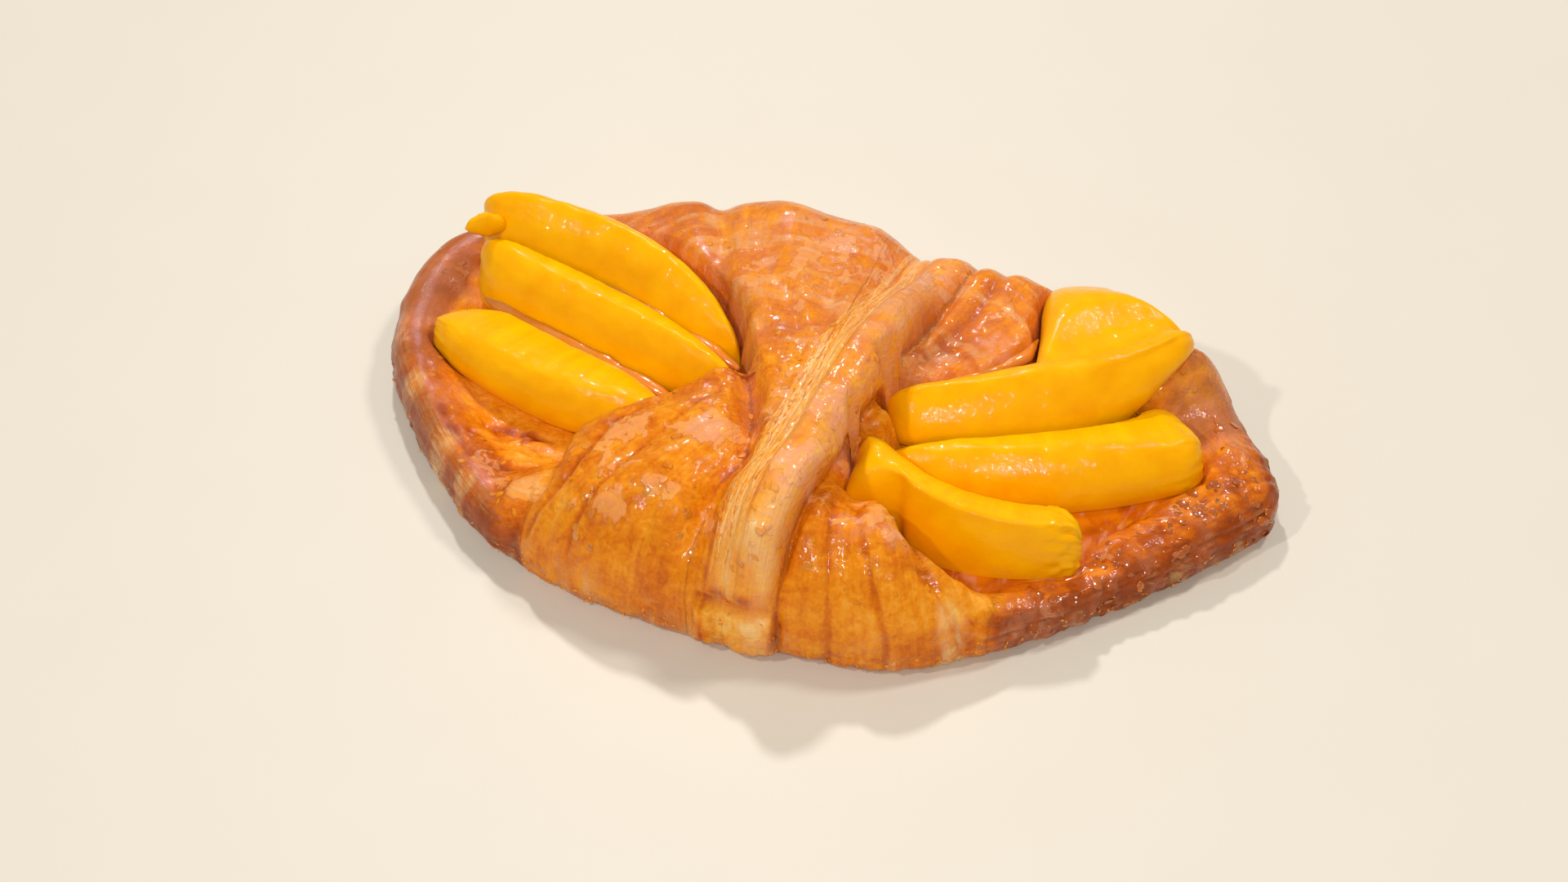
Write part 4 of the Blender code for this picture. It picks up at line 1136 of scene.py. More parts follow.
def crustMaterial():
    material, tree, shader = newMaterial("bakedCrust", roughness=0.35, coat=0.65, coatRoughness=0.04,
                                         subsurface=0.08, subsurfaceScale=0.0015)
    shader.inputs["Coat IOR"].default_value = 1.36
    place = addNode(tree, "ShaderNodeTexCoord").outputs["Object"]
    flow = addNode(tree, "ShaderNodeUVMap", uv_map="flow").outputs[0]
    bake, pale, pink, mauve, wet, skin = (
        addNode(tree, "ShaderNodeAttribute", attribute_name=name).outputs["Fac"]
        for name in ("bake", "pale", "pink", "mauve", "wet", "skin"))
    by, folds = crust["patterns"], crust["foldPatterns"]
    thread = noiseNode(tree, flow, 1.0, folds["thread"], detail=3)
    cloud = noiseNode(tree, place, by["cloud"], detail=4, distortion=0.6)
    patch = noiseNode(tree, place, by["patch"], detail=6, distortion=0.8)
    speck = noiseNode(tree, place, by["speck"], detail=3)

    def swing(value, amount):
        return mathNode(tree, "MULTIPLY", mathNode(tree, "SUBTRACT", value, 0.5), amount)

    sway = crust["toneSway"]
    threads = mathNode(tree, "MULTIPLY", swing(thread, sway["thread"]), mathNode(tree, "ADD", pale, 0.25))
    tone = mathNode(tree, "ADD", mathNode(tree, "ADD", bake, threads),
                    mathNode(tree, "ADD", swing(patch, sway["patch"]), swing(cloud, sway["cloud"])))
    tone = mathNode(tree, "ADD", tone, swing(speck, sway["speck"]))
    colour = rampNode(tree, tone, crust["tones"])
    # torn skin: sharp ragged edges, a rosier cream than the dough below it
    feather = noiseNode(tree, flow, 1.0, folds["feather"], detail=5, distortion=0.4)
    sway = crust["edgeSway"]
    ragged = mathNode(tree, "ADD", mathNode(tree, "ADD", skin, swing(feather, sway["feather"])),
                      mathNode(tree, "ADD", swing(patch, sway["patch"]), swing(cloud, sway["cloud"])))
    flap = rangeNode(tree, ragged, 0.46, 0.62)
    rim = mathNode(tree, "SUBTRACT", rangeNode(tree, ragged, 0.34, 0.46), flap)
    colour = mixColour(tree, mathNode(tree, "MULTIPLY", rim, 0.5), colour, crust["skinEdge"])
    flapColour = mixColour(tree, cloud, *crust["skinColours"])
    colour = mixColour(tree, mathNode(tree, "MULTIPLY", flap, 0.38), colour, flapColour)
    torn = mathNode(tree, "MULTIPLY", mathNode(tree, "ADD", thread, patch), 0.5)
    creamy = mathNode(tree, "MULTIPLY", pale, rangeNode(tree, torn, 0.40, 0.60, 0.15, 1.0))
    colour = mixColour(tree, creamy, colour, crust["cream"])
    rosy = mathNode(tree, "MULTIPLY", pink, rangeNode(tree, patch, 0.35, 0.6, 0.1, 0.8))
    colour = mixColour(tree, rosy, colour, crust["rose"])
    plum = mathNode(tree, "MULTIPLY", mauve, rangeNode(tree, cloud, 0.3, 0.7, 0.55, 0.95))
    colour = mixColour(tree, plum, colour, crust["plum"])
    tree.links.new(colour, shader.inputs["Base Color"])
    rough = mathNode(tree, "SUBTRACT", 0.5, mathNode(tree, "MULTIPLY", wet, 0.22))
    rough = mathNode(tree, "ADD", rough, swing(patch, 0.3))
    tree.links.new(rough, shader.inputs["Roughness"])
    shader.inputs["Subsurface Radius"].default_value = (1.0, 0.5, 0.2)
    shader.inputs["Specular IOR Level"].default_value = 0.04
    height = mathNode(tree, "ADD", mathNode(tree, "MULTIPLY", threads, 1.4),
                      mathNode(tree, "MULTIPLY", patch, 0.9))
    height = mathNode(tree, "ADD", height, mathNode(tree, "MULTIPLY", speck, 0.35))
    height = mathNode(tree, "ADD", height, mathNode(tree, "MULTIPLY", flap, 0.2))
    bump = addNode(tree, "ShaderNodeBump", {"Strength": 0.7, "Distance": 0.6 * mm}, {"Height": height})
    tree.links.new(bump.outputs[0], shader.inputs["Normal"])
    # the glaze lies in soft waves, in steep little lumps where it is thick, and is dull where it is thin
    waves = mathNode(tree, "MULTIPLY", noiseNode(tree, place, by["waves"], detail=1), 0.12)
    ripples = mathNode(tree, "MULTIPLY", noiseNode(tree, place, by["ripples"], detail=1), 0.12)
    thick = rangeNode(tree, wet, 0.62, 0.95, 0.0, 0.2)
    lumps = mathNode(tree, "MULTIPLY", noiseNode(tree, place, by["lumps"], detail=2), thick)
    thin = rangeNode(tree, wet, 0.2, 0.55, 0.05, 0.0)
    dull = mathNode(tree, "MULTIPLY", noiseNode(tree, place, by["dull"], detail=1), thin)
    glaze = mathNode(tree, "ADD", mathNode(tree, "ADD", waves, ripples), mathNode(tree, "ADD", lumps, dull))
    glazeBump = addNode(tree, "ShaderNodeBump", {"Strength": 1.0, "Distance": 1.0 * mm}, {"Height": glaze})
    tree.links.new(glazeBump.outputs[0], shader.inputs["Coat Normal"])
    return material


points, quads, fan, masks = pastryShape()
crustTones = crustMasks(masks)
mesh = newMesh("pastry_crust", points, quads.tolist() + fan)
for name, values in crustTones.items():
    addAttribute(mesh, name, np.clip(values, 0, 1))
addFlowMap(mesh, masks["across"], masks["along"])
bakedCrust = crustMaterial()
crustPiece = newObject("pastry_crust", mesh, bakedCrust)
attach(crustPiece, "root")
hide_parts("pastry")


# Node trees that follow a path or cover a surface

def newTree(name, sizes):
    # a tree with one input for each size, and the input's identifier by name
    tree = bpy.data.node_groups.new(name, "GeometryNodeTree")
    tree.interface.new_socket("Geometry", in_out="INPUT", socket_type="NodeSocketGeometry")
    tree.interface.new_socket("Geometry", in_out="OUTPUT", socket_type="NodeSocketGeometry")
    sockets = {}
    for label, value in sizes.items():
        kind = "NodeSocketInt" if isinstance(value, int) else "NodeSocketFloat"
        sockets[label] = tree.interface.new_socket(label, in_out="INPUT", socket_type=kind).identifier
    return tree, addNode(tree, "NodeGroupInput").outputs, addNode(tree, "NodeGroupOutput"), sockets


def namedValue(tree, name):
    node = addNode(tree, "GeometryNodeInputNamedAttribute", data_type="FLOAT")
    node.inputs["Name"].default_value = name
    return node.outputs["Attribute"]


def closeTree(tree, shape, material, end):
    whole = addNode(tree, "GeometryNodeRealizeInstances", links={"Geometry": shape})
    smooth = addNode(tree, "GeometryNodeSetShadeSmooth", links={"Geometry": whole.outputs[0]})
    finish = addNode(tree, "GeometryNodeSetMaterial", {"Material": material},
                     {"Geometry": smooth.outputs[0]})
    tree.links.new(finish.outputs[0], end.inputs[0])


def strandTree(sizes, material):
    # a round strand along every path, as thick as its own "thick" says
    tree, given, end, sockets = newTree("strands", sizes)
    curve = addNode(tree, "GeometryNodeMeshToCurve", links={"Mesh": given["Geometry"]})
    radius = mathNode(tree, "MULTIPLY", namedValue(tree, "thick"), given["Thickness"])
    ring = addNode(tree, "GeometryNodeCurvePrimitiveCircle", {"Radius": 1.0}, {"Resolution": given["Sides"]})
    swept = addNode(tree, "GeometryNodeCurveToMesh", {"Fill Caps": True},
                    {"Curve": curve.outputs[0], "Profile Curve": ring.outputs[0], "Scale": radius})
    closeTree(tree, swept.outputs[0], material, end)
    return tree, sockets


def scatterTree(sizes, sources, mask, material):
    # small things strewn over a surface, thickest where the mask is 1
    tree, given, end, sockets = newTree("scatter_" + mask, sizes)
    density = mathNode(tree, "MULTIPLY", namedValue(tree, mask), given["Density"])
    spread = addNode(tree, "GeometryNodeDistributePointsOnFaces", distribute_method="RANDOM",
                     links={"Mesh": given["Geometry"], "Density": density, "Seed": given["Seed"]})
    join = addNode(tree, "GeometryNodeJoinGeometry")
    for source in sources:
        info = addNode(tree, "GeometryNodeObjectInfo", {"Object": source, "As Instance": True})
        tree.links.new(info.outputs["Geometry"], join.inputs[0])
    tilt = addNode(tree, "FunctionNodeRandomValue", data_type="FLOAT_VECTOR", links={"Seed": given["Seed"]})
    reach = addNode(tree, "ShaderNodeCombineXYZ", {"Z": math.pi}, {"X": given["Tilt"], "Y": given["Tilt"]})
    back = addNode(tree, "ShaderNodeVectorMath", {"Scale": -1.0}, {0: reach.outputs[0]}, operation="SCALE")
    tree.links.new(back.outputs[0], tilt.inputs[0])
    tree.links.new(reach.outputs[0], tilt.inputs[1])
    turned = addNode(tree, "FunctionNodeRotateRotation", rotation_space="LOCAL",
                     links={"Rotation": spread.outputs["Rotation"], "Rotate By": tilt.outputs[0]})
    size = addNode(tree, "FunctionNodeRandomValue", data_type="FLOAT",
                   links={"Seed": given["Seed"]})
    tree.links.new(given["Smallest"], size.inputs[2])
    tree.links.new(given["Largest"], size.inputs[3])
    placed = addNode(tree, "GeometryNodeInstanceOnPoints", {"Pick Instance": True},
                     {"Points": spread.outputs["Points"], "Instance": join.outputs[0],
                      "Rotation": turned.outputs[0], "Scale": size.outputs[1]})
    closeTree(tree, placed.outputs[0], material, end)
    return tree, sockets


def grow(name, mesh, builder, sizes, material, *details):
    # runs a tree on a mesh and gives the plain mesh that comes out
    tree, sockets = builder(sizes, *details, material)
    holder = newObject(name + "_base", mesh, material)
    modifier = holder.modifiers.new("grow", "NODES")
    modifier.node_group = tree
    for label, value in sizes.items():
        modifier[sockets[label]] = value
    view = bpy.context.evaluated_depsgraph_get()
    view.update()
    grown = bpy.data.meshes.new_from_object(holder.evaluated_get(view))
    holder.modifiers.remove(modifier)
    bpy.data.objects.remove(holder)
    bpy.data.node_groups.remove(tree)
    return grown


def keepInside(mesh):
    # the same easing into the solid's box as the crust has
    flat = np.zeros(len(mesh.vertices) * 3)
    mesh.vertices.foreach_get("co", flat)
    shift = np.array((*pastry["origin"], 0.0))
    eased = insideBox(flat.reshape(-1, 3) / mm + shift) - shift
    mesh.vertices.foreach_set("co", (eased * mm).ravel())
    mesh.update()


def ridePastry(name, mesh, material):
    keepInside(mesh)
    piece = newObject(name, mesh, material)
    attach(piece, "root")
    return piece


# Layered strands down the band's left side

strands = {
    "sizes": {"Thickness": 1.0 * mm, "Sides": 6},
    "bandCount": 40,
    # where they begin and end along the band, and by how much each may start lower or stop sooner
    "bandFrom": (34, -47),
    "startSpread": 26,
    "stopSpread": 5,
    "shortShare": 0.35,
    "shortBy": (6, 30),
    # how far they sway and ripple sideways, in millimetres
    "sway": (0.25, 0.7),
    "ripple": 0.25,
    # how they spread, a share of their distance and where that share grows, and how they thin at the back
    "spread": [(0.15, -12, -26), (-0.2, 0, 24), (-0.25, -32, -44)],
    "thinner": (0.4, -4, 12),
    # share of the band's width where they run, and their thickness in millimetres
    "bandSpread": (-0.22, 0.26),
    "bandThick": (0.12, 0.32),
    "step": 1.2,
    "sunk": 0.78,
    "lowest": 12.5,
    # how many strands are of each tone, and each tone's baking and paleness
    "toneShares": {"cream": 0.38, "gold": 0.37, "amber": 0.25},
    "tones": {"cream": (0.18, 0.65), "gold": (0.32, 0.25), "amber": (0.50, 0.0)},
    "seed": 5}

crustTree = treeOf(points, quads.tolist() + fan)
rng = np.random.default_rng(strands["seed"])


def dropToCrust(x, y):
    hit = crustTree.ray_cast(Vector((float(x), float(y), 60.0)), Vector((0, 0, -1)))
    return hit[0], hit[1]


def bandPaths():
    # each path is a list of points with the thickness there, and one tone for the whole path
    paths = []
    low, high = strands["bandSpread"]
    for k in range(strands["bandCount"]):
        share = low + (high - low) * (k + rng.uniform(0.1, 0.9)) / strands["bandCount"]
        start = strands["bandFrom"][0] - rng.uniform(0, strands["startSpread"])
        stop = strands["bandFrom"][1] + rng.uniform(0, strands["stopSpread"])
        if rng.random() < strands["shortShare"]:
            stop += rng.uniform(*strands["shortBy"])
        thick = rng.uniform(*strands["bandThick"])
        phase, sway = rng.uniform(0, 20), rng.uniform(*strands["sway"])
        rows = []
        for y in np.arange(start, stop, -strands["step"]):
            # the strands run together at the top and fan out to the front
            spread = 1.0
            for part, begin, end in strands["spread"]:
                spread += part * float(smoothStep(begin, end, y))
            left = pastry["bandLeft"][0] + pastry["bandLeft"][1] * y
            right = pastry["bandRight"][0] + pastry["bandRight"][1] * y
            x = left + (right - left) * (0.1 + (share - 0.1) * spread)
            x += sway * math.sin(y / 5.5 + phase) + strands["ripple"] * math.sin(y / 1.9 + 2 * phase)
            place, normal = dropToCrust(x, y)
            if place is None or place.z < strands["lowest"]:
                continue
            ease = min(1.0, (start - y) / 4 + 0.25, (y - stop) / 4 + 0.25)
            size = thick * ease * (1 + 0.25 * math.sin(y / 2.7 + phase))
            part, begin, end = strands["thinner"]
            size *= 1.0 - part * float(smoothStep(begin, end, y))
            rows.append((*(place - normal * size * strands["sunk"]), size))
        tone = rng.choice(list(strands["toneShares"]), p=list(strands["toneShares"].values()))
        paths.append((rows, tone))
    return paths


def pathMesh(name, paths):
    places, edges, thick, bake, pale = [], [], [], [], []
    for rows, tone in paths:
        if len(rows) < 4:
            continue
        first = len(places)
        edges += [(first + i, first + i + 1) for i in range(len(rows) - 1)]
        places += [row[:3] for row in rows]
        thick += [row[3] for row in rows]
        bake += [strands["tones"][tone][0]] * len(rows)
        pale += [strands["tones"][tone][1]] * len(rows)
    mesh = bpy.data.meshes.new(name)
    placed = (np.array(places) - np.array((*pastry["origin"], 0.0))) * mm
    mesh.from_pydata(placed.tolist(), edges, [])
    for label, values in dict(thick=thick, bake=bake, pale=pale, pink=np.zeros(len(bake)),
                              mauve=np.zeros(len(bake)), wet=np.full(len(bake), 0.5),
                              skin=np.zeros(len(bake))).items():
        addAttribute(mesh, label, values)
    return mesh


print("laying the strands")
grown = grow("band_strands", pathMesh("band_paths", bandPaths()), strandTree, strands["sizes"], bakedCrust)
ridePastry("band_strands", grown, bakedCrust)


# Set glaze that fills the gaps beside the slices

seams = {
    "sizes": {"Thickness": 1.0 * mm, "Sides": 10},
    # points with height in millimetres and the thickness of the fillet
    "paths": [
        [(17.5, 1.5, 19.0), (23, 6.0, 19.2), (29, 11, 18.8), (33, 16.5, 18.0), (34, 22, 17.4)],
        [(-13.5, 2.2, 17.5), (-24, 7.8, 17.6), (-36, 14.2, 17.8), (-50, 20.4, 17.8), (-63, 25.8, 17.6)],
        [(-23, -3.6, 12.8), (-32, 0.4, 13.0), (-43, 5.2, 12.8), (-55, 10.6, 12.2), (-65, 15.6, 11.4)]],
    "thick": (1.0, 1.3, 1.3),
    "colours": ((0.74, 0.22, 0.004, 1.0), (0.72, 0.25, 0.04, 1.0))}


def glazeMaterial():
    material, tree, shader = newMaterial("clearGlaze", roughness=0.18, coat=1.0, coatRoughness=0.04,
                                         subsurface=0.3, subsurfaceScale=0.003)
    place = addNode(tree, "ShaderNodeTexCoord").outputs["Object"]
    cloud = noiseNode(tree, place, 260, detail=3, distortion=1.0)
    colour = mixColour(tree, rangeNode(tree, cloud, 0.35, 0.65), *seams["colours"])
    tree.links.new(colour, shader.inputs["Base Color"])
    bump = addNode(tree, "ShaderNodeBump", {"Strength": 1.0, "Distance": 0.2 * mm}, {"Height": cloud})
    tree.links.new(bump.outputs[0], shader.inputs["Normal"])
    tree.links.new(bump.outputs[0], shader.inputs["Coat Normal"])
    return material


def seamRows(path, thick, seed):
    # the path with a few steps between its points, thinner at both ends
    path = np.array(path, float)
    spans = np.linspace(0, len(path) - 1, (len(path) - 1) * 8 + 1)
    rows = np.stack([np.interp(spans, np.arange(len(path)), path[:, k]) for k in range(3)], -1)
    share = np.sqrt(np.clip(np.minimum(spans, len(path) - 1 - spans) / 0.5, 0.05, 1.0))
    size = thick * share * (1 + 0.45 * noise(spans * 2.6, spans * 0, seed, 2))
    return [(*row, width) for row, width in zip(rows, size)]


clearGlaze = glazeMaterial()
seamPaths = [(seamRows(path, thick, 70 + k), "gold")
             for k, (path, thick) in enumerate(zip(seams["paths"], seams["thick"]))]
grown = grow("glaze_seams", pathMesh("glaze_seam_paths", seamPaths), strandTree, seams["sizes"], clearGlaze)
keepInside(grown)
seamPiece = newObject("glaze_seams", grown, clearGlaze)
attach(seamPiece, "root")


# Torn flakes, glaze beads and crumbs strewn over the crust

strewn = {
    "sizes": {
        "flakes": {"Density": 110000.0, "Seed": 3, "Smallest": 0.25, "Largest": 0.7, "Tilt": 0.12},
        "beads": {"Density": 260000.0, "Seed": 8, "Smallest": 0.35, "Largest": 0.95, "Tilt": 0.2},
        "crumbs": {"Density": 220000.0, "Seed": 12, "Smallest": 0.2, "Largest": 0.55, "Tilt": 0.8}},
    # millimetres, and how darkly they are baked
    "flake": {"length": 1.5, "thick": 0.12, "curl": 0.2, "bake": 0.46, "corners": 11},
    "flakeWidths": (0.7, 0.85, 1.0, 1.15),
    "crumb": {"length": 1.0, "width": 0.7, "thick": 0.5, "curl": 0.2, "bake": 0.38, "corners": 8},
    "crumbSeeds": (20, 21, 22),
    "beadHeights": (0.12, 0.18),
    # the beads are darker on the dark right rim, which begins between these places, in metres
    "lobeBeads": ((0.60, 0.155, 0.004, 1.0), (0.74, 0.23, 0.008, 1.0)),
    "rimBeads": ((0.38, 0.07, 0.003, 1.0), (0.50, 0.11, 0.004, 1.0)),
    "rimPlaces": (0.020, 0.045),
    # no flake lies beside the knob of the right front slice
    "knobPlace": (13, -19),
    # how thickly the flakes, the beads and the crumbs lie in each place
    "flakeShares": {"frontLobes": 0.35, "backLobes": 0.16, "rightRim": 0.1, "leftRim": 0.3, "roll": 0.5},
    "rollPlace": (0.6, 0.3),
    "rimBeadShare": 0.9,
    "crumbShares": {"all": 0.5, "front": 0.5, "foot": 0.8}}


def raggedPlate(name, seed, length, width, thick, curl, bake, corners):
    # one flake in millimetres: a thin plate with a ragged edge, curled up at one end
    draw = np.random.default_rng(seed)
    angle = np.linspace(0, 2 * math.pi, corners, endpoint=False) + draw.uniform(-0.15, 0.15, corners)
    reach = draw.uniform(0.72, 1.15, corners)
    x, y = length * reach * np.cos(angle), width * reach * np.sin(angle)
    half = np.stack([0.5 * x, 0.5 * y], -1)
    outer = np.stack([x, y], -1)
    plan = np.concatenate([[(0.0, 0.0)], half, outer])
    rise = curl * np.maximum(plan[:, 0] / length, -0.2) ** 2 + draw.uniform(-0.03, 0.03, len(plan))
    taper = np.concatenate([np.ones(corners + 1), np.full(corners, 0.35)]) * thick / 2
    upper = np.column_stack([plan, rise + taper])
    lower = np.column_stack([plan, rise - taper])
    faces = []
    count = len(plan)
    for k in range(corners):
        j = (k + 1) % corners
        a, b, c, d = 1 + k, 1 + j, 1 + corners + k, 1 + corners + j
        faces += [(0, a, b), (a, c, d, b), (count, count + b, count + a),
                  (count + a, count + b, count + d, count + c), (c, count + c, count + d, d)]
    mesh = bpy.data.meshes.new(name)
    mesh.from_pydata((np.concatenate([upper, lower]) * mm).tolist(), [], faces)
    addAttribute(mesh, "bake", np.full(2 * count, bake))
    obj = bpy.data.objects.new(name, mesh)
    bpy.context.scene.collection.objects.link(obj)
    return obj


def bead(name, flat, sides=10):
    # a low dome of set glaze, one millimetre across its radius
    rings = [(1.0, -0.3), (0.96, 0.2), (0.75, 0.5), (0.42, 0.85)]
    places = [(r * math.cos(2 * math.pi * k / sides), r * math.sin(2 * math.pi * k / sides), flat * h)
              for r, h in rings for k in range(sides)]
    faces = []
    for i in range(len(rings) - 1):
        for k in range(sides):
            j = (k + 1) % sides
            faces.append((i * sides + k, i * sides + j, (i + 1) * sides + j, (i + 1) * sides + k))
    places += [(0, 0, flat), (0, 0, -0.4 * flat)]
    top, last = len(rings) * sides, (len(rings) - 1) * sides
    faces += [(last + k, last + (k + 1) % sides, top) for k in range(sides)]
    faces += [((k + 1) % sides, k, top + 1) for k in range(sides)]
    mesh = bpy.data.meshes.new(name)
    mesh.from_pydata((np.array(places) * mm).tolist(), [], faces)
    obj = bpy.data.objects.new(name, mesh)
    bpy.context.scene.collection.objects.link(obj)
    return obj


def strewMasks(m):
    x, y = m["x"], m["y"]
    clump = fade("clump", wave("clump", x, y))
    frontLobes = m["lobe"] * m["front"] * (1 - m["bandStreak"])
    by = strewn["flakeShares"]
    flakes = by["frontLobes"] * frontLobes + by["backLobes"] * m["lobe"] * (1 - m["front"])
    flakes += by["rightRim"] * m["rightRim"] + by["leftRim"] * m["leftRim"]
    middle, reach = strewn["rollPlace"]
    flakes += by["roll"] * bell(m["u"] - middle, reach) * m["onBand"] * m["front"]
    kx, ky = strewn["knobPlace"]
    flakes *= fade("flakesFromKnob", np.hypot(x - kx, y - ky))
    beads = strewn["rimBeadShare"] * m["rightRim"] * clump + spotMask(x, y, crust["glints"], 46)
    by = strewn["crumbShares"]
    crumbs = m["crumbly"] * (by["all"] + by["front"] * m["front"]) + by["foot"] * m["foot"]
    return dict(flakes=flakes * fade("flakesFromEdge", m["edge"]), beads=beads, crumbs=crumbs)


def beadMaterial():
    material, tree, shader = newMaterial("glazeBeads", roughness=0.2, coat=1.0, coatRoughness=0.02,
                                         subsurface=0.2, subsurfaceScale=0.002)
    shader.inputs["Coat IOR"].default_value = 1.45
    place = addNode(tree, "ShaderNodeTexCoord").outputs["Object"]
    cloud = rangeNode(tree, noiseNode(tree, place, 300), 0.35, 0.65)
    along = addNode(tree, "ShaderNodeSeparateXYZ", links={"Vector": place}).outputs["X"]
    onRim = rangeNode(tree, along, *strewn["rimPlaces"])
    lobeColour = mixColour(tree, cloud, *strewn["lobeBeads"])
    rimColour = mixColour(tree, cloud, *strewn["rimBeads"])
    colour = mixColour(tree, onRim, lobeColour, rimColour)
    tree.links.new(colour, shader.inputs["Base Color"])
    return material


print("strewing flakes, beads and crumbs")
clearBeads = beadMaterial()
scatterMesh = mesh.copy()
for name, values in strewMasks(masks).items():
    addAttribute(scatterMesh, name, np.clip(values, 0, 1))
sources = {
    "flakes": [raggedPlate("flakeSource" + str(k), k, width=width, **strewn["flake"])
               for k, width in enumerate(strewn["flakeWidths"])],
    "beads": [bead("beadSource" + str(k), height) for k, height in enumerate(strewn["beadHeights"])],
    "crumbs": [raggedPlate("crumbSource" + str(k), seed, **strewn["crumb"])
               for k, seed in enumerate(strewn["crumbSeeds"])]}
for name, sizes in strewn["sizes"].items():
    material = clearBeads if name == "beads" else bakedCrust
    grown = grow(name, scatterMesh.copy(), scatterTree, sizes, material, sources[name], name)
    ridePastry("crust_" + name, grown, material)
bpy.data.meshes.remove(scatterMesh)
for group in sources.values():
    for source in group:
        bpy.data.objects.remove(source)


# The syrup that has gathered in the right pocket

syrup = {
    "corners": [(18, -20), (24, -29), (31, -33.5), (39, -33), (48, -27), (57, -15), (63, -3), (62, 8),
                (52, 10), (40, 0), (28, -8)],
    "level": 8.1,
    "thick": 0.8,
    "edgeWidth": 1.5,
    "cells": 110,
    "ripple": 0.22,
    "colours": ((0.72, 0.19, 0.002, 1.0), (0.52, 0.085, 0.002, 1.0)),
    # pale rose streaks over the syrup: a painted sheen
    "paintedSheen": (0.80, 0.36, 0.22, 1.0)}


def syrupMaterial():
    material, tree, shader = newMaterial("setSyrup", roughness=0.12, coat=0.6, coatRoughness=0.03,
                                         subsurface=0.1, subsurfaceScale=0.002)
    place = addNode(tree, "ShaderNodeTexCoord").outputs["Object"]
    cloud = noiseNode(tree, place, 120, detail=3, distortion=1.5)
    colour = mixColour(tree, rangeNode(tree, cloud, 0.35, 0.65), *syrup["colours"])
    streak = noiseNode(tree, place, 210, (1.0, 0.35, 1.0), detail=4, distortion=2.0)
    # painted sheen: pale rose streaks laid over the syrup's colour
    paintedSheen = mathNode(tree, "MULTIPLY", rangeNode(tree, streak, 0.55, 0.72), 0.55)
    tree.links.new(mixColour(tree, paintedSheen, colour, syrup["paintedSheen"]), shader.inputs["Base Color"])
    shader.inputs["Specular IOR Level"].default_value = 0.4
    bump = addNode(tree, "ShaderNodeBump", {"Strength": 0.3, "Distance": 0.6 * mm}, {"Height": streak})
    tree.links.new(bump.outputs[0], shader.inputs["Normal"])
    tree.links.new(bump.outputs[0], shader.inputs["Coat Normal"])
    return material


def syrupMesh():
    loop = closedCurve(syrup["corners"], 8)
    low, high = loop.min(axis=0), loop.max(axis=0)
    n = syrup["cells"]
    gx, gy = np.meshgrid(np.linspace(low[0], high[0], n), np.linspace(low[1], high[1], n))
    depth = depthInside(gx.ravel(), gy.ravel(), loop)
    inside = depth > 0
    index = np.full(n * n, -1)
    index[inside] = np.arange(inside.sum())
    x, y = gx.ravel()[inside], gy.ravel()[inside]
    thick = syrup["thick"] * np.sqrt(np.clip(depth[inside] / syrup["edgeWidth"], 0, 1))
    ripple = syrup["ripple"] * noise(x / 5, y / 7, 51, 2) * smoothStep(0, 2, depth[inside])
    top = syrup["level"] - syrup["thick"] + thick + ripple
    bottom = np.full(len(x), syrup["level"] - 0.9)
    grid = index.reshape(n, n)
    cells = np.stack([grid[:-1, :-1], grid[:-1, 1:], grid[1:, 1:], grid[1:, :-1]], -1).reshape(-1, 4)
    cells = cells[(cells >= 0).all(axis=1)]
    count = len(x)
    faces = cells.tolist() + (cells[:, ::-1] + count).tolist()
    sides = {}
    for a, b, c, d in cells.tolist():
        for pair in ((a, b), (b, c), (c, d), (d, a)):
            sides[pair] = True
    faces += [(b, a, a + count, b + count) for a, b in sides if (b, a) not in sides]
    return np.concatenate([np.column_stack([x, y, top]), np.column_stack([x, y, bottom])]), faces


print("pouring the syrup")
places, faces = syrupMesh()
setSyrup = syrupMaterial()
syrupPiece = newObject("right_syrup", newMesh("right_syrup", places, faces), setSyrup)
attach(syrupPiece, "root")


# Floor, light and camera

print("setting the floor, the light and the camera")

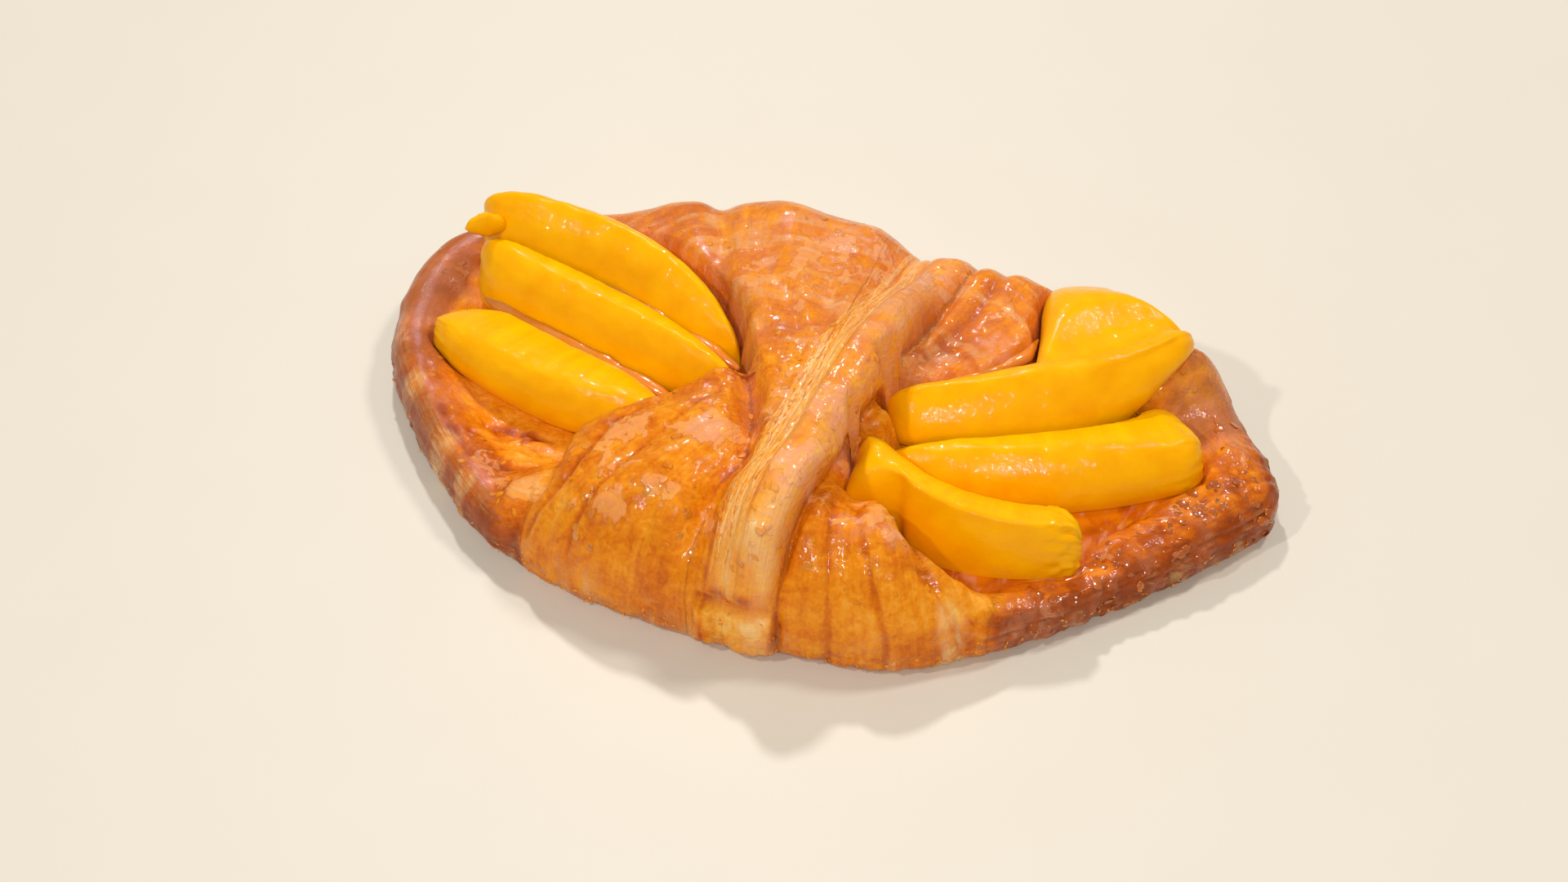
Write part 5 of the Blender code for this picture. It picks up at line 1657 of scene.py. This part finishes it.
stage = {
    "floorColour": (0.70, 0.645, 0.545, 1.0),
    "floorSize": 4.0,
    "worldColour": (1.0, 0.97, 0.92, 1.0),
    "worldStrength": 0.235,
    # place, strength in watts, size, colour
    "lights": {
        "window": ((0.50, 0.45, 1.00), 4.7, 0.20, (1.0, 0.97, 0.93)),
        "front": ((0.30, -0.85, 0.90), 6.3, 0.22, (1.0, 0.98, 0.95)),
        "glint": ((-0.50, -0.50, 0.85), 3.2, 0.06, (1.0, 0.98, 0.95)),
        "backGlint": ((-0.26, 0.62, 0.78), 4.0, 0.07, (1.0, 0.98, 0.95))},
    "aim": (0.0, 0.0, 0.01),
    "cameraPlace": (127.735, -404.794, 402.892),
    "cameraRight": (0.95916, 0.28108, -0.03169),
    "cameraUp": (-0.16973, 0.66154, 0.73045),
    "cameraBack": (0.22628, -0.69524, 0.68223),
    "lens": 78.04}


def buildStage():
    half = stage["floorSize"] / 2
    mesh = bpy.data.meshes.new("floor")
    corners = [(-half, -half, 0), (half, -half, 0), (half, half, 0), (-half, half, 0)]
    mesh.from_pydata(corners, [], [(0, 1, 2, 3)])
    material, tree, shader = newMaterial("paleFloor", roughness=0.5, coat=0.0, coatRoughness=0.1)
    place = addNode(tree, "ShaderNodeTexCoord").outputs["Object"]
    grain = noiseNode(tree, place, 40, detail=4)
    colour = stage["floorColour"]
    darker = (*(0.97 * c for c in colour[:3]), 1.0)
    tree.links.new(mixColour(tree, grain, colour, darker), shader.inputs["Base Color"])
    floor = newObject("floor", mesh, material)
    for name, (place, watts, size, tint) in stage["lights"].items():
        lamp = bpy.data.lights.new(name, "AREA")
        lamp.shape = "DISK"
        lamp.energy, lamp.size, lamp.color = watts, size, tint
        obj = bpy.data.objects.new(name, lamp)
        obj.location = place
        obj.rotation_euler = (Vector(stage["aim"]) - Vector(place)).to_track_quat("-Z", "Y").to_euler()
        bpy.context.scene.collection.objects.link(obj)
    world = bpy.data.worlds.new("soft")
    world.use_nodes = True
    world.node_tree.nodes["Background"].inputs["Color"].default_value = stage["worldColour"]
    world.node_tree.nodes["Background"].inputs["Strength"].default_value = stage["worldStrength"]
    bpy.context.scene.world = world
    camera = bpy.data.cameras.new("camera")
    camera.lens = stage["lens"]
    camera.sensor_width = 36.0
    camera.clip_start = 0.01
    obj = bpy.data.objects.new("camera", camera)
    axes = Matrix([stage["cameraRight"], stage["cameraUp"], stage["cameraBack"]]).transposed().to_4x4()
    axes.translation = Vector(stage["cameraPlace"]) * mm
    obj.matrix_world = axes
    bpy.context.scene.collection.objects.link(obj)
    bpy.context.scene.camera = obj
    bpy.context.scene.view_settings.view_transform = "Standard"


buildStage()
